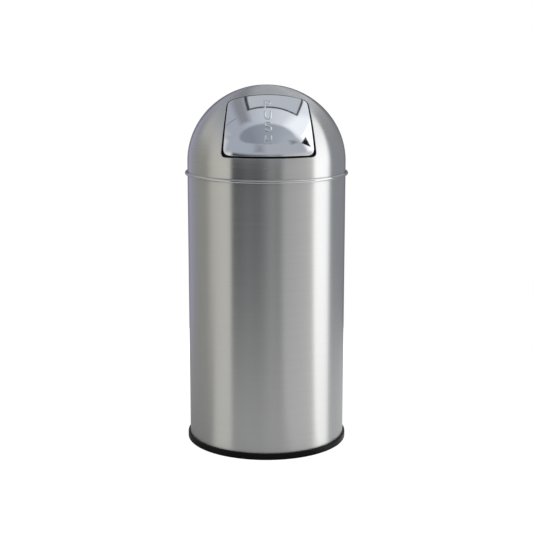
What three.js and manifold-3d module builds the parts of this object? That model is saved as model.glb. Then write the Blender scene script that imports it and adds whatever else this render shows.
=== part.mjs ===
// A floor-standing waste bin: a rolled steel body on a plastic base ring, a lift-off dome lid with a
// sprung push flap, and a galvanised liner bucket with a bail handle. Millimetres, +Z up. The origin is on
// the floor at the bin's axis, and the flap faces -Y.
import * as THREE from 'three';
import { mergeVertices } from 'three/addons/utils/BufferGeometryUtils.js';
import Module from 'manifold-3d';

const wasm = await Module();
wasm.setup();

// ---- Driving sizes ------------------------------------------------------------------------------

// Shared by many pieces
const FIT = 0.3; // gap left where two pieces rest against each other
const RUNNING_FIT = 0.5; // gap beside a piece that turns
const ROUND_STEPS = 48; // facets round the body, dome and rings
const ROD_SIDES = 12; // facets of a pin and of what turns on it
const SMALL_SIDES = 8; // facets of wire, studs and rivets
const WELD = 1e-4; // corners closer than this are one corner
const SHEET = 0.8; // stainless sheet of the body and the dome

// Body
const BODY_RADIUS = 167.5; // outside of the cylinder and of the dome's skirt
const BODY_HEIGHT = 582; // floor to the middle of the rolled rim
const RIM_HALF_DEPTH = 3.1; // the rolled rim is an oval curl, seen in section
const RIM_HALF_HEIGHT = 3.4;
const RIM_STEPS = 7;
const CURL_END = -125; // angle where a curl's free edge stops, in degrees, 180 being its wall
const RING_HEIGHT = 13.5; // black base ring
const RING_OVERHANG = 4.8; // how far the ring stands out past the body
const RING_FLOOR = 3.7; // plastic under the body's edge
const RING_LIP_HEIGHT = 9; // inner lip that keeps the pan's skirt against the body
const RING_LIP_WIDTH = 2.8;
const RING_ROUNDING = 2.0;
const PAN_TOP = 20; // height of the bottom plate
const PAN_SHEET = 0.8;

// Dome lid
const DOME_SKIRT = 23.8; // rim's middle to where the dome starts to curve
const DOME_RISE = 160.2; // start of the curve to the top
const DOME_STEPS = 12;
const COLLAR_SHEET = 1.2; // locating ring inside the lid
const COLLAR_DEPTH = 15; // how far it reaches below the rim's middle
const COLLAR_TOP = 17; // how far it reaches above the rim's middle
const COLLAR_CLEARANCE = 1.0; // all round, inside the body's mouth
const COLLAR_JOG = 4; // height above the rim's middle where it steps out against the dome
const COLLAR_JOG_SLOPE = 3; // rise of the step for each millimetre outward

// Door in the dome. Its outline lies in a plane that leans back; "along" runs up that plane from the sill.
const DOOR_LEAN = 35.6; // degrees that the door faces above the horizon
const DOOR_SILL = 22.6; // sill above the start of the curve
const DOOR_LENGTH = 152.8; // sill to top edge
const DOOR_HALF_WIDTH = 98.6; // at the sill
const DOOR_TAPER = 0.103; // lost from each side per millimetre along
const DOOR_TOP_CORNER = 14;
const DOOR_SILL_CORNER = 10;
const DOOR_SILL_STEPS = 8;
const DOOR_CUT_REACH = 75; // how far the door's cut reaches on each side of its plane

// Flap: a chromed pressing on a moulded back frame
const FLAP_TOP_GAP = 1.8;
const FLAP_SIDE_GAP = 2.2; // at the door's top edge
const FLAP_SIDE_FLARE = 0.012; // by which that gap widens for each millimetre down from there
const FLAP_SILL_GAP = 3.6;
const FLAP_SILL_CORNER = 14;
const PANEL_SHEET = 1.2;
const PANEL_RETURN = 3.0; // depth of the pressing's turned-in edge
const FRAME_DEPTH = 3.4; // outer skin to the front of the back frame
const FRAME_WALL = 2.0;
const STOP_FLANGE = 7; // back frame's reach behind the dome, past the door's edge
const STOP_FLANGE_END = 100; // the flange stops this far along the door
const STUD_RADIUS = 2.0;
const STUD_BOSS_RADIUS = 6.0;
const STUD_SEAT = 10.5; // skin to the end of the boss
const STUD_TIP = 3.2; // stud beyond the seat
const STUD_PLACES = [[31.5, 38], [16, 112]]; // in from the door's side, along the door
const STUD_NUT_RADIUS = 5.2;
const STUD_NUT_THICKNESS = 1.3;
const BUFFER_ALONG = 46; // place of the rubber buffers along the flange
const BUFFER_OUTSIDE = 3.5; // from the door's edge to their middle
const BUFFER_HEAD_RADIUS = 4.0;
const BUFFER_STEM_RADIUS = 1.7;
const BUFFER_TAIL_RADIUS = 2.8;
const BUFFER_TAIL_LENGTH = 2.0;
const BUFFER_SIDES = 10;

// Flap hinge, behind the door's top edge
const PIN_BEHIND = 11.5; // behind the door's top edge
const PIN_BELOW = 26; // below it
const PIN_RADIUS = 3.0;
const PIN_END = 3.5; // pin past each clip
const EAR_INSET = 42.6; // in from the door's side at the sill to each bracket's ear
const EAR_SHEET = 2.0;
const EAR_WALL = 3.7; // metal round the pin's hole
const EAR_NECK_FRONT = 4.2; // ear's outline: ahead of the pin at its height
const EAR_NECK_DROP = 3.5; // below the pin at the eye's back
const EAR_BACK_RISE = 10.4; // above the pin at the bracket's back edge
const BRACKET_SHEET = 1.5;
const BRACKET_INNER = 20; // inner edge of each bracket's plate
const BRACKET_FRONT = 3; // its front edge behind the pin
const BRACKET_BACK = 30; // its back edge behind the pin
const KNUCKLE_WIDTH = 10;
const KNUCKLE_WALL = 3.2; // plastic round the pin's hole
const WEB_UPPER = [45, 22.5]; // end of the web's upper edge: ahead of the pin, above it
const WEB_LOWER = [72, -45]; // end of its lower edge
const CLIP_THICKNESS = 1.2;
const CLIP_WIDTH = 2.7; // of the clip's ring

// Torsion springs on the hinge pin
const SPRING_WIRE_RADIUS = 0.6;
const SPRING_SLACK = 1.6; // between pin and coil
const SPRING_PITCH = 2.4;
const SPRING_TURNS = 6;
const SPRING_SIDE_GAP = 3.5; // from the flap's knuckle to the coil's first turn
const SPRING_FLAP_LEG = 40; // reach ahead of the pin
const SPRING_LID_LEG = 20; // reach behind the pin
const SPRING_STEPS_PER_TURN = 8;
const SPRING_WIRE_SIDES = 5;
const SPRING_LEG_STEPS = 3; // points along a leg
const SPRING_TEST_POINTS = 600; // where its distance to itself is measured

// Liner bucket
const LINER_CLEARANCE = 4.5; // from its rim to the lid's collar
const LINER_SHEET = 0.6;
const LINER_RIM_HALF = 2.8;
const LINER_RIM_STEPS = 5;
const LINER_BASE_RISE = 6; // bottom of the wall to the top of its base plate
const BAIL_WIRE_RADIUS = 2.5;
const BAIL_HEADROOM = 2; // between the folded bail and the collar
const BAIL_END = 6; // wire past the ear
const BAIL_HEAD_WIDTH = 1.3; // of the head that keeps the wire's end in its lug
const BAIL_HEAD_THICKNESS = 1.6;
const BAIL_STEPS = 28;
const LUG_SHEET = 1.5; // lugs that hold the bail
const LUG_HALF_WIDTH = 12;
const LUG_ABOVE = 7;
const LUG_BELOW = 34;
const RIVET_RADIUS = 2.0;
const RIVET_HEAD_RADIUS = 3.8;
const RIVET_CROWN_RADIUS = 2.7; // flat of its head
const RIVET_HEAD_HEIGHT = 1.3;
const RIVET_SPACING = 12;
const RIVET_DROP = 20; // first rivet row's middle below the pivot

// ---- Places worked out from them ----------------------------------------------------------------

const degrees = THREE.MathUtils.degToRad;
const domeStart = BODY_HEIGHT + DOME_SKIRT;
const bodyInside = BODY_RADIUS - SHEET;
const edgeRest = RING_FLOOR + FIT;
const rimMiddleRadius = bodyInside + RIM_HALF_DEPTH;
const collarOutside = bodyInside - COLLAR_CLEARANCE;
const linerInside = collarOutside - COLLAR_SHEET - LINER_CLEARANCE - 2 * LINER_RIM_HALF;
const linerOutside = linerInside + LINER_SHEET;
const linerRimRadius = linerInside + LINER_RIM_HALF;
const linerFoot = PAN_TOP + FIT;
const collarFoot = BODY_HEIGHT - COLLAR_DEPTH;
const pivotHeight = collarFoot - BAIL_HEADROOM - BAIL_WIRE_RADIUS;
const linerRimHeight = pivotHeight - BAIL_WIRE_RADIUS - FIT - LINER_RIM_HALF;
const frameBack = FRAME_DEPTH + FRAME_WALL;
const bracketFace = SHEET + FIT;
const bracketBack = bracketFace + BRACKET_SHEET;
const pinHoleRadius = PIN_RADIUS + FIT;
const earInner = DOOR_HALF_WIDTH - EAR_INSET;
const earOuter = earInner + EAR_SHEET;
const earEyeRadius = pinHoleRadius + EAR_WALL;
const clipOuter = earOuter + FIT + CLIP_THICKNESS;
const pinHalfLength = clipOuter + PIN_END;
const knuckleOuter = earInner - RUNNING_FIT;
const knuckleEyeRadius = pinHoleRadius + KNUCKLE_WALL;
const springOuter = knuckleOuter - KNUCKLE_WIDTH - SPRING_SIDE_GAP;
const springMeanRadius = PIN_RADIUS + SPRING_SLACK + SPRING_WIRE_RADIUS;

// The most that the faceted dome lies inside the true one
const facetSag = BODY_RADIUS * (1 - Math.cos(Math.PI / ROUND_STEPS))
  + DOME_RISE * (1 - Math.cos(Math.PI / (4 * DOME_STEPS)));

// Radius of the dome's outside at a height above the start of its curve
const domeRadius = (rise) => BODY_RADIUS * Math.sqrt(1 - (rise / DOME_RISE) ** 2);

// Height of the surface that lies "depth" inside the dome's skin, over a point of the floor plan
function domeHeight(x, y, depth) {
  const radius = BODY_RADIUS - depth;
  return domeStart + (DOME_RISE - depth) * Math.sqrt(1 - (x * x + y * y) / (radius * radius));
}

const leanSine = Math.sin(degrees(DOOR_LEAN));
const leanCosine = Math.cos(degrees(DOOR_LEAN));
const sillRadius = domeRadius(DOOR_SILL);
const doorFrame = new THREE.Matrix4()
  .makeBasis(
    new THREE.Vector3(1, 0, 0),
    new THREE.Vector3(0, leanSine, leanCosine),
    new THREE.Vector3(0, -leanCosine, leanSine),
  )
  .setPosition(0, -sillRadius, domeStart + DOOR_SILL);

// How far the dome's skin stands out of the door's plane at a place on it
function skinDepth(across, along) {
  const y = -sillRadius + along * leanSine;
  const rise = DOOR_SILL + along * leanCosine;
  const round = 1 / BODY_RADIUS ** 2;
  const high = 1 / DOME_RISE ** 2;
  const a = leanCosine ** 2 * round + leanSine ** 2 * high;
  const b = 2 * (rise * leanSine * high - y * leanCosine * round);
  const c = (across ** 2 + y ** 2) * round + rise ** 2 * high - 1;
  return (-b + Math.sqrt(b * b - 4 * a * c)) / (2 * a);
}

const skinPoint = (across, along) =>
  new THREE.Vector3(across, along, skinDepth(across, along)).applyMatrix4(doorFrame);

function skinNormal(point) {
  const rise = point.z - domeStart;
  const out = new THREE.Vector3(point.x, point.y, (rise * BODY_RADIUS ** 2) / DOME_RISE ** 2);
  return out.normalize();
}

const doorTop = skinPoint(0, DOOR_LENGTH);
const pinY = doorTop.y + PIN_BEHIND;
const pinZ = doorTop.z - PIN_BELOW;

// ---- Solids -------------------------------------------------------------------------------------

function signedVolume(position, triangles) {
  const [a, b, c] = [new THREE.Vector3(), new THREE.Vector3(), new THREE.Vector3()];
  let volume = 0;
  for (let i = 0; i < triangles.length; i += 3) {
    a.fromBufferAttribute(position, triangles[i]);
    b.fromBufferAttribute(position, triangles[i + 1]);
    c.fromBufferAttribute(position, triangles[i + 2]);
    volume += a.dot(b.cross(c)) / 6;
  }
  return volume;
}

// A closed solid: shared corners are merged, flat triangles at an axis are dropped, and faces are turned
// outward.
function solid(geometry) {
  const plain = new THREE.BufferGeometry();
  plain.setAttribute('position', geometry.getAttribute('position'));
  plain.setIndex(geometry.getIndex());
  const merged = mergeVertices(plain, WELD);
  const index = merged.getIndex().array;
  const position = merged.getAttribute('position');
  const triangles = [];
  for (let i = 0; i < index.length; i += 3) {
    const [a, b, c] = index.slice(i, i + 3);
    if (a !== b && b !== c && c !== a) triangles.push(a, b, c);
  }
  if (signedVolume(position, triangles) < 0) triangles.reverse();
  return new wasm.Manifold(new wasm.Mesh({
    numProp: 3,
    vertProperties: Float32Array.from(position.array),
    triVerts: Uint32Array.from(triangles),
  }));
}

function geometryOf(body) {
  const mesh = body.getMesh();
  const geometry = new THREE.BufferGeometry();
  geometry.setAttribute('position', new THREE.BufferAttribute(mesh.vertProperties, 3));
  geometry.setIndex(new THREE.BufferAttribute(mesh.triVerts, 1));
  geometry.computeVertexNormals();
  return geometry;
}

// A profile of [radius, height] pairs turned about Y
function latheGeometry(profile, steps) {
  return new THREE.LatheGeometry(profile.map(([radius, height]) => new THREE.Vector2(radius, height)), steps);
}

// The same turned about Z, as a solid; its ends lie on the axis, or it closes on itself.
function turned(profile) {
  const onAxis = profile[0][0] === 0;
  const closed = onAxis ? profile : [...profile, profile[0]];
  return solid(latheGeometry(closed, ROUND_STEPS).rotateX(Math.PI / 2));
}

function block(x, y, z) {
  const size = [x, y, z].map(([low, high]) => Math.abs(high - low));
  const middle = [x, y, z].map(([low, high]) => (low + high) / 2);
  return solid(new THREE.BoxGeometry(...size).translate(...middle));
}

// A round bar along X, through (y, z)
function barX(radius, [from, to], y, z, sides = ROD_SIDES) {
  const bar = new THREE.CylinderGeometry(radius, radius, Math.abs(to - from), sides);
  return solid(bar.rotateZ(Math.PI / 2).translate((from + to) / 2, y, z));
}

// A round bar square to the door's plane, between two depths of it
function barOut(radius, { across, along }, [from, to]) {
  const bar = new THREE.CylinderGeometry(radius, radius, to - from, SMALL_SIDES).rotateX(Math.PI / 2);
  return solid(bar.translate(across, along, (from + to) / 2).applyMatrix4(doorFrame));
}

// A plate in the YZ plane, cut to an outline of [y, z] pairs
function plateX(outline, [from, to]) {
  const shape = new THREE.Shape(outline.map(([y, z]) => new THREE.Vector2(y, z)));
  const plate = new THREE.ExtrudeGeometry(shape, { depth: Math.abs(to - from), bevelEnabled: false });
  const [x, y, z] = [new THREE.Vector3(1, 0, 0), new THREE.Vector3(0, 1, 0), new THREE.Vector3(0, 0, 1)];
  const turn = new THREE.Matrix4().makeBasis(y, z, x);
  return solid(plate.applyMatrix4(turn).translate(Math.min(from, to), 0, 0));
}

// A round wire along a curve
function wire(curve, radius, steps, sides) {
  const section = new THREE.Shape();
  for (let i = 0; i < sides; i += 1) {
    const angle = (2 * Math.PI * i) / sides;
    section[i === 0 ? 'moveTo' : 'lineTo'](radius * Math.cos(angle), radius * Math.sin(angle));
  }
  return new THREE.ExtrudeGeometry(section, { steps, extrudePath: curve, bevelEnabled: false });
}

// Both faces of an outward curl at the top of a wall whose inside has that radius
function curl(inside, height, halfDepth, halfHeight, sheet, steps) {
  const middle = inside + halfDepth;
  const face = (shrink) => {
    const points = [];
    for (let i = 0; i <= steps; i += 1) {
      const angle = degrees(180 + ((CURL_END - 180) * i) / steps);
      const depth = (halfDepth - shrink) * Math.cos(angle);
      points.push([middle + depth, height + (halfHeight - shrink) * Math.sin(angle)]);
    }
    return points;
  };
  return [...face(0), ...face(sheet).reverse()];
}

// Everything within the surface that lies "depth" inside the dome's skin
function domeCore(depth) {
  const radius = BODY_RADIUS - depth;
  const profile = [[0, BODY_HEIGHT], [radius, BODY_HEIGHT]];
  for (let i = 0; i < DOME_STEPS; i += 1) {
    const angle = (Math.PI / 2) * (i / DOME_STEPS);
    profile.push([radius * Math.cos(angle), domeStart + (DOME_RISE - depth) * Math.sin(angle)]);
  }
  profile.push([0, domeStart + DOME_RISE - depth]);
  return turned(profile);
}

const domeLayer = (outer, inner) => domeCore(outer).subtract(domeCore(inner));

// ---- Door outline -------------------------------------------------------------------------------

const doorHalf = (along) => DOOR_HALF_WIDTH - DOOR_TAPER * along;

// Seen square to the door's plane, the level sill bows: it lifts with the dome's roundness to each side.
const sillLift = (across) => (sillRadius - Math.sqrt(sillRadius ** 2 - across ** 2)) * leanSine;

// The door's outline drawn in by a gap on each side, or let out by a negative one
function doorOutline({ side = 0, flare = 0, top = 0, sill = 0, sillCorner = DOOR_SILL_CORNER }) {
  const half = (along) => doorHalf(along) - side - flare * (DOOR_LENGTH - along);
  const upper = DOOR_LENGTH - top;
  let corner = sill; // where the side meets the sill, which lifts there: each pass comes nearer
  for (let pass = 0; pass < DOOR_SILL_STEPS; pass += 1) corner = sill + sillLift(half(corner));
  const sillEnd = half(corner) - sillCorner;
  const shape = new THREE.Shape();
  shape.moveTo(-sillEnd, sill + sillLift(sillEnd));
  for (let i = 1; i <= DOOR_SILL_STEPS; i += 1) {
    const across = sillEnd * ((2 * i) / DOOR_SILL_STEPS - 1);
    shape.lineTo(across, sill + sillLift(across));
  }
  const sideStart = corner + sillCorner;
  const sideEnd = upper - DOOR_TOP_CORNER;
  const topEnd = half(upper) - DOOR_TOP_CORNER;
  shape.quadraticCurveTo(half(corner), corner, half(sideStart), sideStart);
  shape.lineTo(half(sideEnd), sideEnd);
  shape.quadraticCurveTo(half(upper), upper, topEnd, upper);
  shape.lineTo(-topEnd, upper);
  shape.quadraticCurveTo(-half(upper), upper, -half(sideEnd), sideEnd);
  shape.lineTo(-half(sideStart), sideStart);
  shape.quadraticCurveTo(-half(corner), corner, -sillEnd, sill + sillLift(sillEnd));
  return shape;
}

// A straight-sided core through the door with that outline
function doorCore(shape) {
  const options = { depth: 2 * DOOR_CUT_REACH, curveSegments: 3, bevelEnabled: false };
  const core = new THREE.ExtrudeGeometry(shape, options);
  return solid(core.translate(0, 0, -DOOR_CUT_REACH).applyMatrix4(doorFrame));
}

// ---- Finishes -----------------------------------------------------------------------------------

const finish = (color, roughness, metalness) =>
  new THREE.MeshStandardMaterial({ color, roughness, metalness });
const brushedSteel = finish(0xa7a7a4, 0.36, 1);
const chrome = finish(0xd3d6d9, 0.07, 1);
const galvanised = finish(0x9ba1a4, 0.5, 0.9);
const springSteel = finish(0x85888b, 0.35, 1);
const blackPlastic = finish(0x1c1c1d, 0.5, 0);
const rubber = finish(0x151515, 0.85, 0);

const bin = new THREE.Group();
const [bodyGroup, lidGroup, flapGroup, linerGroup] = Array.from({ length: 4 }, () => new THREE.Group());
bin.add(bodyGroup, lidGroup, flapGroup, linerGroup);

function place(group, name, body, material) {
  const mesh = new THREE.Mesh(geometryOf(body), material.clone());
  mesh.name = name;
  group.add(mesh);
  return mesh;
}

const sides = [['left', -1], ['right', 1]];

// ---- Body ---------------------------------------------------------------------------------------

function bodyShell() {
  const rim = curl(bodyInside, BODY_HEIGHT, RIM_HALF_DEPTH, RIM_HALF_HEIGHT, SHEET, RIM_STEPS);
  return turned([[BODY_RADIUS, edgeRest], [bodyInside, edgeRest], ...rim]);
}

// A pressed plate with a skirt that stands down inside a wall
function pressedPlate(outside, top, foot, sheet) {
  return turned([
    [0, top], [outside, top], [outside, foot], [outside - sheet, foot], [outside - sheet, top - sheet],
    [0, top - sheet],
  ]);
}

function baseRing() {
  const outside = BODY_RADIUS + RING_OVERHANG;
  const lipOutside = bodyInside - 2 * FIT - PAN_SHEET - FIT;
  const lipInside = lipOutside - RING_LIP_WIDTH;
  return turned([
    [lipInside, 0], [outside - RING_ROUNDING, 0], [outside, RING_ROUNDING],
    [outside, RING_HEIGHT - RING_ROUNDING], [outside - RING_ROUNDING, RING_HEIGHT],
    [BODY_RADIUS + FIT, RING_HEIGHT], [BODY_RADIUS + FIT, RING_FLOOR], [lipOutside, RING_FLOOR],
    [lipOutside, RING_LIP_HEIGHT], [lipInside, RING_LIP_HEIGHT],
  ]);
}

place(bodyGroup, 'body_shell', bodyShell(), brushedSteel);
place(bodyGroup, 'base_pan', pressedPlate(bodyInside - FIT, PAN_TOP, edgeRest, PAN_SHEET), galvanised);
place(bodyGroup, 'base_ring', baseRing(), blackPlastic);

// ---- Lid ----------------------------------------------------------------------------------------

function domeShell() {
  const shoulder = Math.sqrt(1 - ((rimMiddleRadius - BODY_RADIUS) / RIM_HALF_DEPTH) ** 2);
  const foot = BODY_HEIGHT + RIM_HALF_HEIGHT * shoulder + FIT;
  const wide = BODY_RADIUS + SHEET;
  const above = block([-wide, wide], [-wide, wide], [foot, domeStart + DOME_RISE + SHEET]);
  return domeLayer(0, SHEET).intersect(above).subtract(doorCore(doorOutline({})));
}

// The ring that drops into the body's mouth, stepped out above it against the dome
function lidCollar() {
  const low = collarOutside;
  const high = bodyInside - FIT;
  const jog = BODY_HEIGHT + COLLAR_JOG;
  const step = jog + (high - low) * COLLAR_JOG_SLOPE;
  const top = BODY_HEIGHT + COLLAR_TOP;
  return turned([
    [low, collarFoot], [low, jog], [high, step], [high, top], [high - COLLAR_SHEET, top],
    [high - COLLAR_SHEET, step], [low - COLLAR_SHEET, jog], [low - COLLAR_SHEET, collarFoot],
  ]);
}

// What the pin's running hole takes out of anything on it
const pinHole = () => barX(pinHoleRadius, [-pinHalfLength, pinHalfLength], pinY, pinZ);

// A plate against the dome's inside with an ear that carries the pin
function hingeBracket(side) {
  const plateSpan = [side * BRACKET_INNER, side * earOuter];
  const earSpan = [side * earInner, side * earOuter];
  const [front, back] = [pinY + BRACKET_FRONT, pinY + BRACKET_BACK];
  const top = domeStart + DOME_RISE;
  const plate = domeLayer(bracketFace, bracketBack).intersect(block(plateSpan, [front, back], [pinZ, top]));
  const outline = [
    [pinY - EAR_NECK_FRONT, pinZ], [pinY + earEyeRadius, pinZ - EAR_NECK_DROP], [back, pinZ + EAR_BACK_RISE],
    [back, top], [front, top], [front, pinZ + earEyeRadius],
  ];
  const ear = plateX(outline, earSpan).intersect(domeCore(bracketFace));
  const eye = barX(earEyeRadius, earSpan, pinY, pinZ);
  return plate.add(ear).add(eye).subtract(pinHole());
}

// Path of a torsion spring: a leg under the flap, the coil round the pin, and a leg under the lid's bracket
function springPath(side) {
  const innerEnd = springOuter - SPRING_TURNS * SPRING_PITCH;
  const under = SPRING_WIRE_RADIUS + RUNNING_FIT;
  const flapY = pinY - SPRING_FLAP_LEG;
  const lidY = pinY + SPRING_LID_LEG;
  const flapEnd = [flapY - pinY, domeHeight(springOuter, flapY, frameBack) - under - pinZ];
  const lidEnd = [lidY - pinY, domeHeight(innerEnd, lidY, bracketBack) - under - pinZ];
  const fullTurn = 2 * Math.PI;
  const tangent = ([y, z]) => Math.acos(springMeanRadius / Math.hypot(y, z));
  const bearing = ([y, z]) => (Math.atan2(z, y) + fullTurn) % fullTurn;
  const start = bearing(flapEnd) - tangent(flapEnd);
  const end = bearing(lidEnd) + tangent(lidEnd) - fullTurn * SPRING_TURNS;
  const at = (x, y, z) => new THREE.Vector3(side * x, pinY + y, pinZ + z);
  const onCoil = (share) => {
    const angle = THREE.MathUtils.lerp(start, end, share);
    const x = THREE.MathUtils.lerp(springOuter, innerEnd, share);
    return at(x, springMeanRadius * Math.cos(angle), springMeanRadius * Math.sin(angle));
  };
  const flapTip = at(springOuter, ...flapEnd);
  const lidTip = at(innerEnd, ...lidEnd);
  const coilSteps = SPRING_TURNS * SPRING_STEPS_PER_TURN;
  const points = [flapTip];
  for (let i = 1; i < SPRING_LEG_STEPS; i += 1) {
    points.push(flapTip.clone().lerp(onCoil(0), i / SPRING_LEG_STEPS));
  }
  for (let i = 0; i <= coilSteps; i += 1) points.push(onCoil(i / coilSteps));
  for (let i = 1; i <= SPRING_LEG_STEPS; i += 1) points.push(onCoil(1).lerp(lidTip, i / SPRING_LEG_STEPS));
  return new THREE.CatmullRomCurve3(points);
}

// Least clear distance of a wire to itself, between points that lie at least "apart" from each other along it
function leastGap(curve, radius, apart) {
  const points = curve.getSpacedPoints(SPRING_TEST_POINTS);
  const skip = Math.ceil((apart / curve.getLength()) * SPRING_TEST_POINTS);
  let least = Infinity;
  for (let i = 0; i < points.length; i += 1) {
    for (const other of points.slice(i + skip)) least = Math.min(least, points[i].distanceTo(other));
  }
  return least - 2 * radius;
}

function torsionSpring(side) {
  const path = springPath(side);
  const turn = 2 * Math.PI * springMeanRadius;
  const gap = leastGap(path, SPRING_WIRE_RADIUS, turn / 2);
  console.log(`hinge spring: least gap to itself ${gap.toFixed(2)} mm`);
  const steps = Math.round((path.getLength() / turn) * SPRING_STEPS_PER_TURN);
  return solid(wire(path, SPRING_WIRE_RADIUS, steps, SPRING_WIRE_SIDES));
}

function pinClip(side) {
  const span = [side * (earOuter + FIT), side * clipOuter];
  return barX(pinHoleRadius + CLIP_WIDTH, span, pinY, pinZ).subtract(pinHole());
}

place(lidGroup, 'dome_shell', domeShell(), brushedSteel);
place(lidGroup, 'lid_collar', lidCollar(), brushedSteel);
place(lidGroup, 'hinge_pin', barX(PIN_RADIUS, [-pinHalfLength, pinHalfLength], pinY, pinZ), springSteel);
for (const [name, side] of sides) {
  place(lidGroup, `${name}_hinge_bracket`, hingeBracket(side), galvanised);
  place(lidGroup, `${name}_pin_clip`, pinClip(side), springSteel);
  place(lidGroup, `${name}_hinge_spring`, torsionSpring(side), springSteel);
}

// ---- Flap ---------------------------------------------------------------------------------------

const levels = ['lower', 'upper'];
const studPlaces = sides.flatMap(([name, side]) => STUD_PLACES.map(([inset, along], i) => {
  const across = doorHalf(along) - inset;
  const skin = skinDepth(across, along);
  return {
    name: `${name}_${levels[i]}`,
    across: side * across,
    along,
    seat: skin - STUD_SEAT,
    beyond: skin + STUD_BOSS_RADIUS,
  };
}));

// The pressing's outline, or the line that lies an inset within it
function panelOutline(inset) {
  return doorOutline({
    side: FLAP_SIDE_GAP + inset,
    flare: FLAP_SIDE_FLARE,
    top: FLAP_TOP_GAP + inset,
    sill: FLAP_SILL_GAP + inset,
    sillCorner: FLAP_SILL_CORNER,
  });
}

// The chromed pressing: a skin flush with the dome, its turned-in edge, and studs welded to its back
function flapPanel() {
  const whole = doorCore(panelOutline(0));
  const skin = domeLayer(0, PANEL_SHEET).intersect(whole);
  const edge = domeLayer(0, PANEL_RETURN).intersect(whole).subtract(doorCore(panelOutline(PANEL_SHEET)));
  let panel = skin.add(edge);
  for (const stud of studPlaces) {
    const post = barOut(STUD_RADIUS, stud, [stud.seat - STUD_TIP, stud.beyond]);
    panel = panel.add(post.intersect(domeCore(PANEL_SHEET / 2)));
  }
  return panel;
}

const bufferPlaces = sides.map(([name, side]) => {
  const point = skinPoint(side * (doorHalf(BUFFER_ALONG) + BUFFER_OUTSIDE), BUFFER_ALONG);
  return { name, point, normal: skinNormal(point) };
});

// A geometry drawn up the Y axis, stood on the dome's skin at a buffer's place
function onSkin(geometry, { point, normal }) {
  const turn = new THREE.Quaternion().setFromUnitVectors(new THREE.Vector3(0, 1, 0), normal);
  return solid(geometry.applyQuaternion(turn).translate(point.x, point.y, point.z));
}

// A knuckle that turns on the pin, on a web that runs out under the frame
function knuckle(side) {
  const span = [side * (knuckleOuter - KNUCKLE_WIDTH), side * knuckleOuter];
  const [upperY, upperZ] = WEB_UPPER;
  const [lowerY, lowerZ] = WEB_LOWER;
  const web = plateX([
    [pinY, pinZ + knuckleEyeRadius], [pinY, pinZ - knuckleEyeRadius], [pinY - lowerY, pinZ + lowerZ],
    [pinY - upperY, pinZ + upperZ],
  ], span);
  return { web, eye: barX(knuckleEyeRadius, span, pinY, pinZ) };
}

// The moulded frame behind the pressing, with the flange that stops it against the dome
function flapFrame() {
  const plate = doorCore(panelOutline(0));
  const flange = doorCore(doorOutline({ side: -STOP_FLANGE, sill: -STOP_FLANGE }));
  const reach = BODY_RADIUS;
  const corners = [[-reach, -reach], [reach, -reach], [reach, STOP_FLANGE_END], [-reach, STOP_FLANGE_END]];
  const below = new THREE.Shape(corners.map(([across, along]) => new THREE.Vector2(across, along)));
  const area = plate.add(flange.intersect(doorCore(below)));
  const root = domeCore(frameBack - FRAME_WALL / 2);
  let frame = domeLayer(FRAME_DEPTH, frameBack).intersect(area);
  for (const [, side] of sides) {
    const { web, eye } = knuckle(side);
    frame = frame.add(web.intersect(root).intersect(area)).add(eye);
  }
  for (const stud of studPlaces) {
    frame = frame.add(barOut(STUD_BOSS_RADIUS, stud, [stud.seat, stud.beyond]).intersect(root));
  }
  for (const stud of studPlaces) {
    frame = frame.subtract(barOut(STUD_RADIUS + FIT, stud, [stud.seat - FIT, stud.beyond]));
  }
  const holeRadius = BUFFER_STEM_RADIUS + FIT;
  const holeLength = 2 * (frameBack + facetSag + BUFFER_TAIL_LENGTH);
  for (const spot of bufferPlaces) {
    const hole = new THREE.CylinderGeometry(holeRadius, holeRadius, holeLength, BUFFER_SIDES);
    frame = frame.subtract(onSkin(hole, spot));
  }
  return frame.subtract(pinHole());
}

// A push-in rubber buffer: its head meets the dome's inside, and its tail holds it in the flange
function buffer(spot) {
  const head = -(SHEET + facetSag + FIT);
  const neck = -(FRAME_DEPTH - FIT);
  const tail = -(frameBack + facetSag + FIT);
  const tip = tail - BUFFER_TAIL_LENGTH;
  const profile = [
    [0, tip], [BUFFER_STEM_RADIUS, tip], [BUFFER_TAIL_RADIUS, tail], [BUFFER_STEM_RADIUS, tail],
    [BUFFER_STEM_RADIUS, neck], [BUFFER_HEAD_RADIUS, neck],
    [BUFFER_HEAD_RADIUS, head - FIT], [BUFFER_HEAD_RADIUS - FIT, head], [0, head],
  ];
  return onSkin(latheGeometry(profile, BUFFER_SIDES), spot);
}

function studNut(stud) {
  const face = stud.seat - FIT;
  const ring = barOut(STUD_NUT_RADIUS, stud, [face - STUD_NUT_THICKNESS, face]);
  return ring.subtract(barOut(STUD_RADIUS + FIT, stud, [face - 2 * STUD_NUT_THICKNESS, stud.seat]));
}

place(flapGroup, 'flap_panel', flapPanel(), chrome);
place(flapGroup, 'flap_frame', flapFrame(), blackPlastic);
for (const stud of studPlaces) place(flapGroup, `${stud.name}_stud_nut`, studNut(stud), springSteel);
for (const spot of bufferPlaces) place(flapGroup, `${spot.name}_stop_buffer`, buffer(spot), rubber);

// ---- Liner --------------------------------------------------------------------------------------

const rivetHeights = [-0.5, 0.5].map((share) => pivotHeight - RIVET_DROP + share * RIVET_SPACING);
const lugOutside = linerInside - FIT;
const lugInside = lugOutside - LUG_SHEET;

function rivetHoles(side) {
  const span = [side * (lugInside - LUG_SHEET), side * (linerOutside + LUG_SHEET)];
  const [low, high] = rivetHeights.map((height) => barX(RIVET_RADIUS + FIT, span, 0, height, SMALL_SIDES));
  return low.add(high);
}

function linerWall() {
  const rim = curl(linerInside, linerRimHeight, LINER_RIM_HALF, LINER_RIM_HALF, LINER_SHEET, LINER_RIM_STEPS);
  const wall = turned([[linerOutside, linerFoot], [linerInside, linerFoot], ...rim]);
  return wall.subtract(rivetHoles(-1)).subtract(rivetHoles(1));
}

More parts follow.
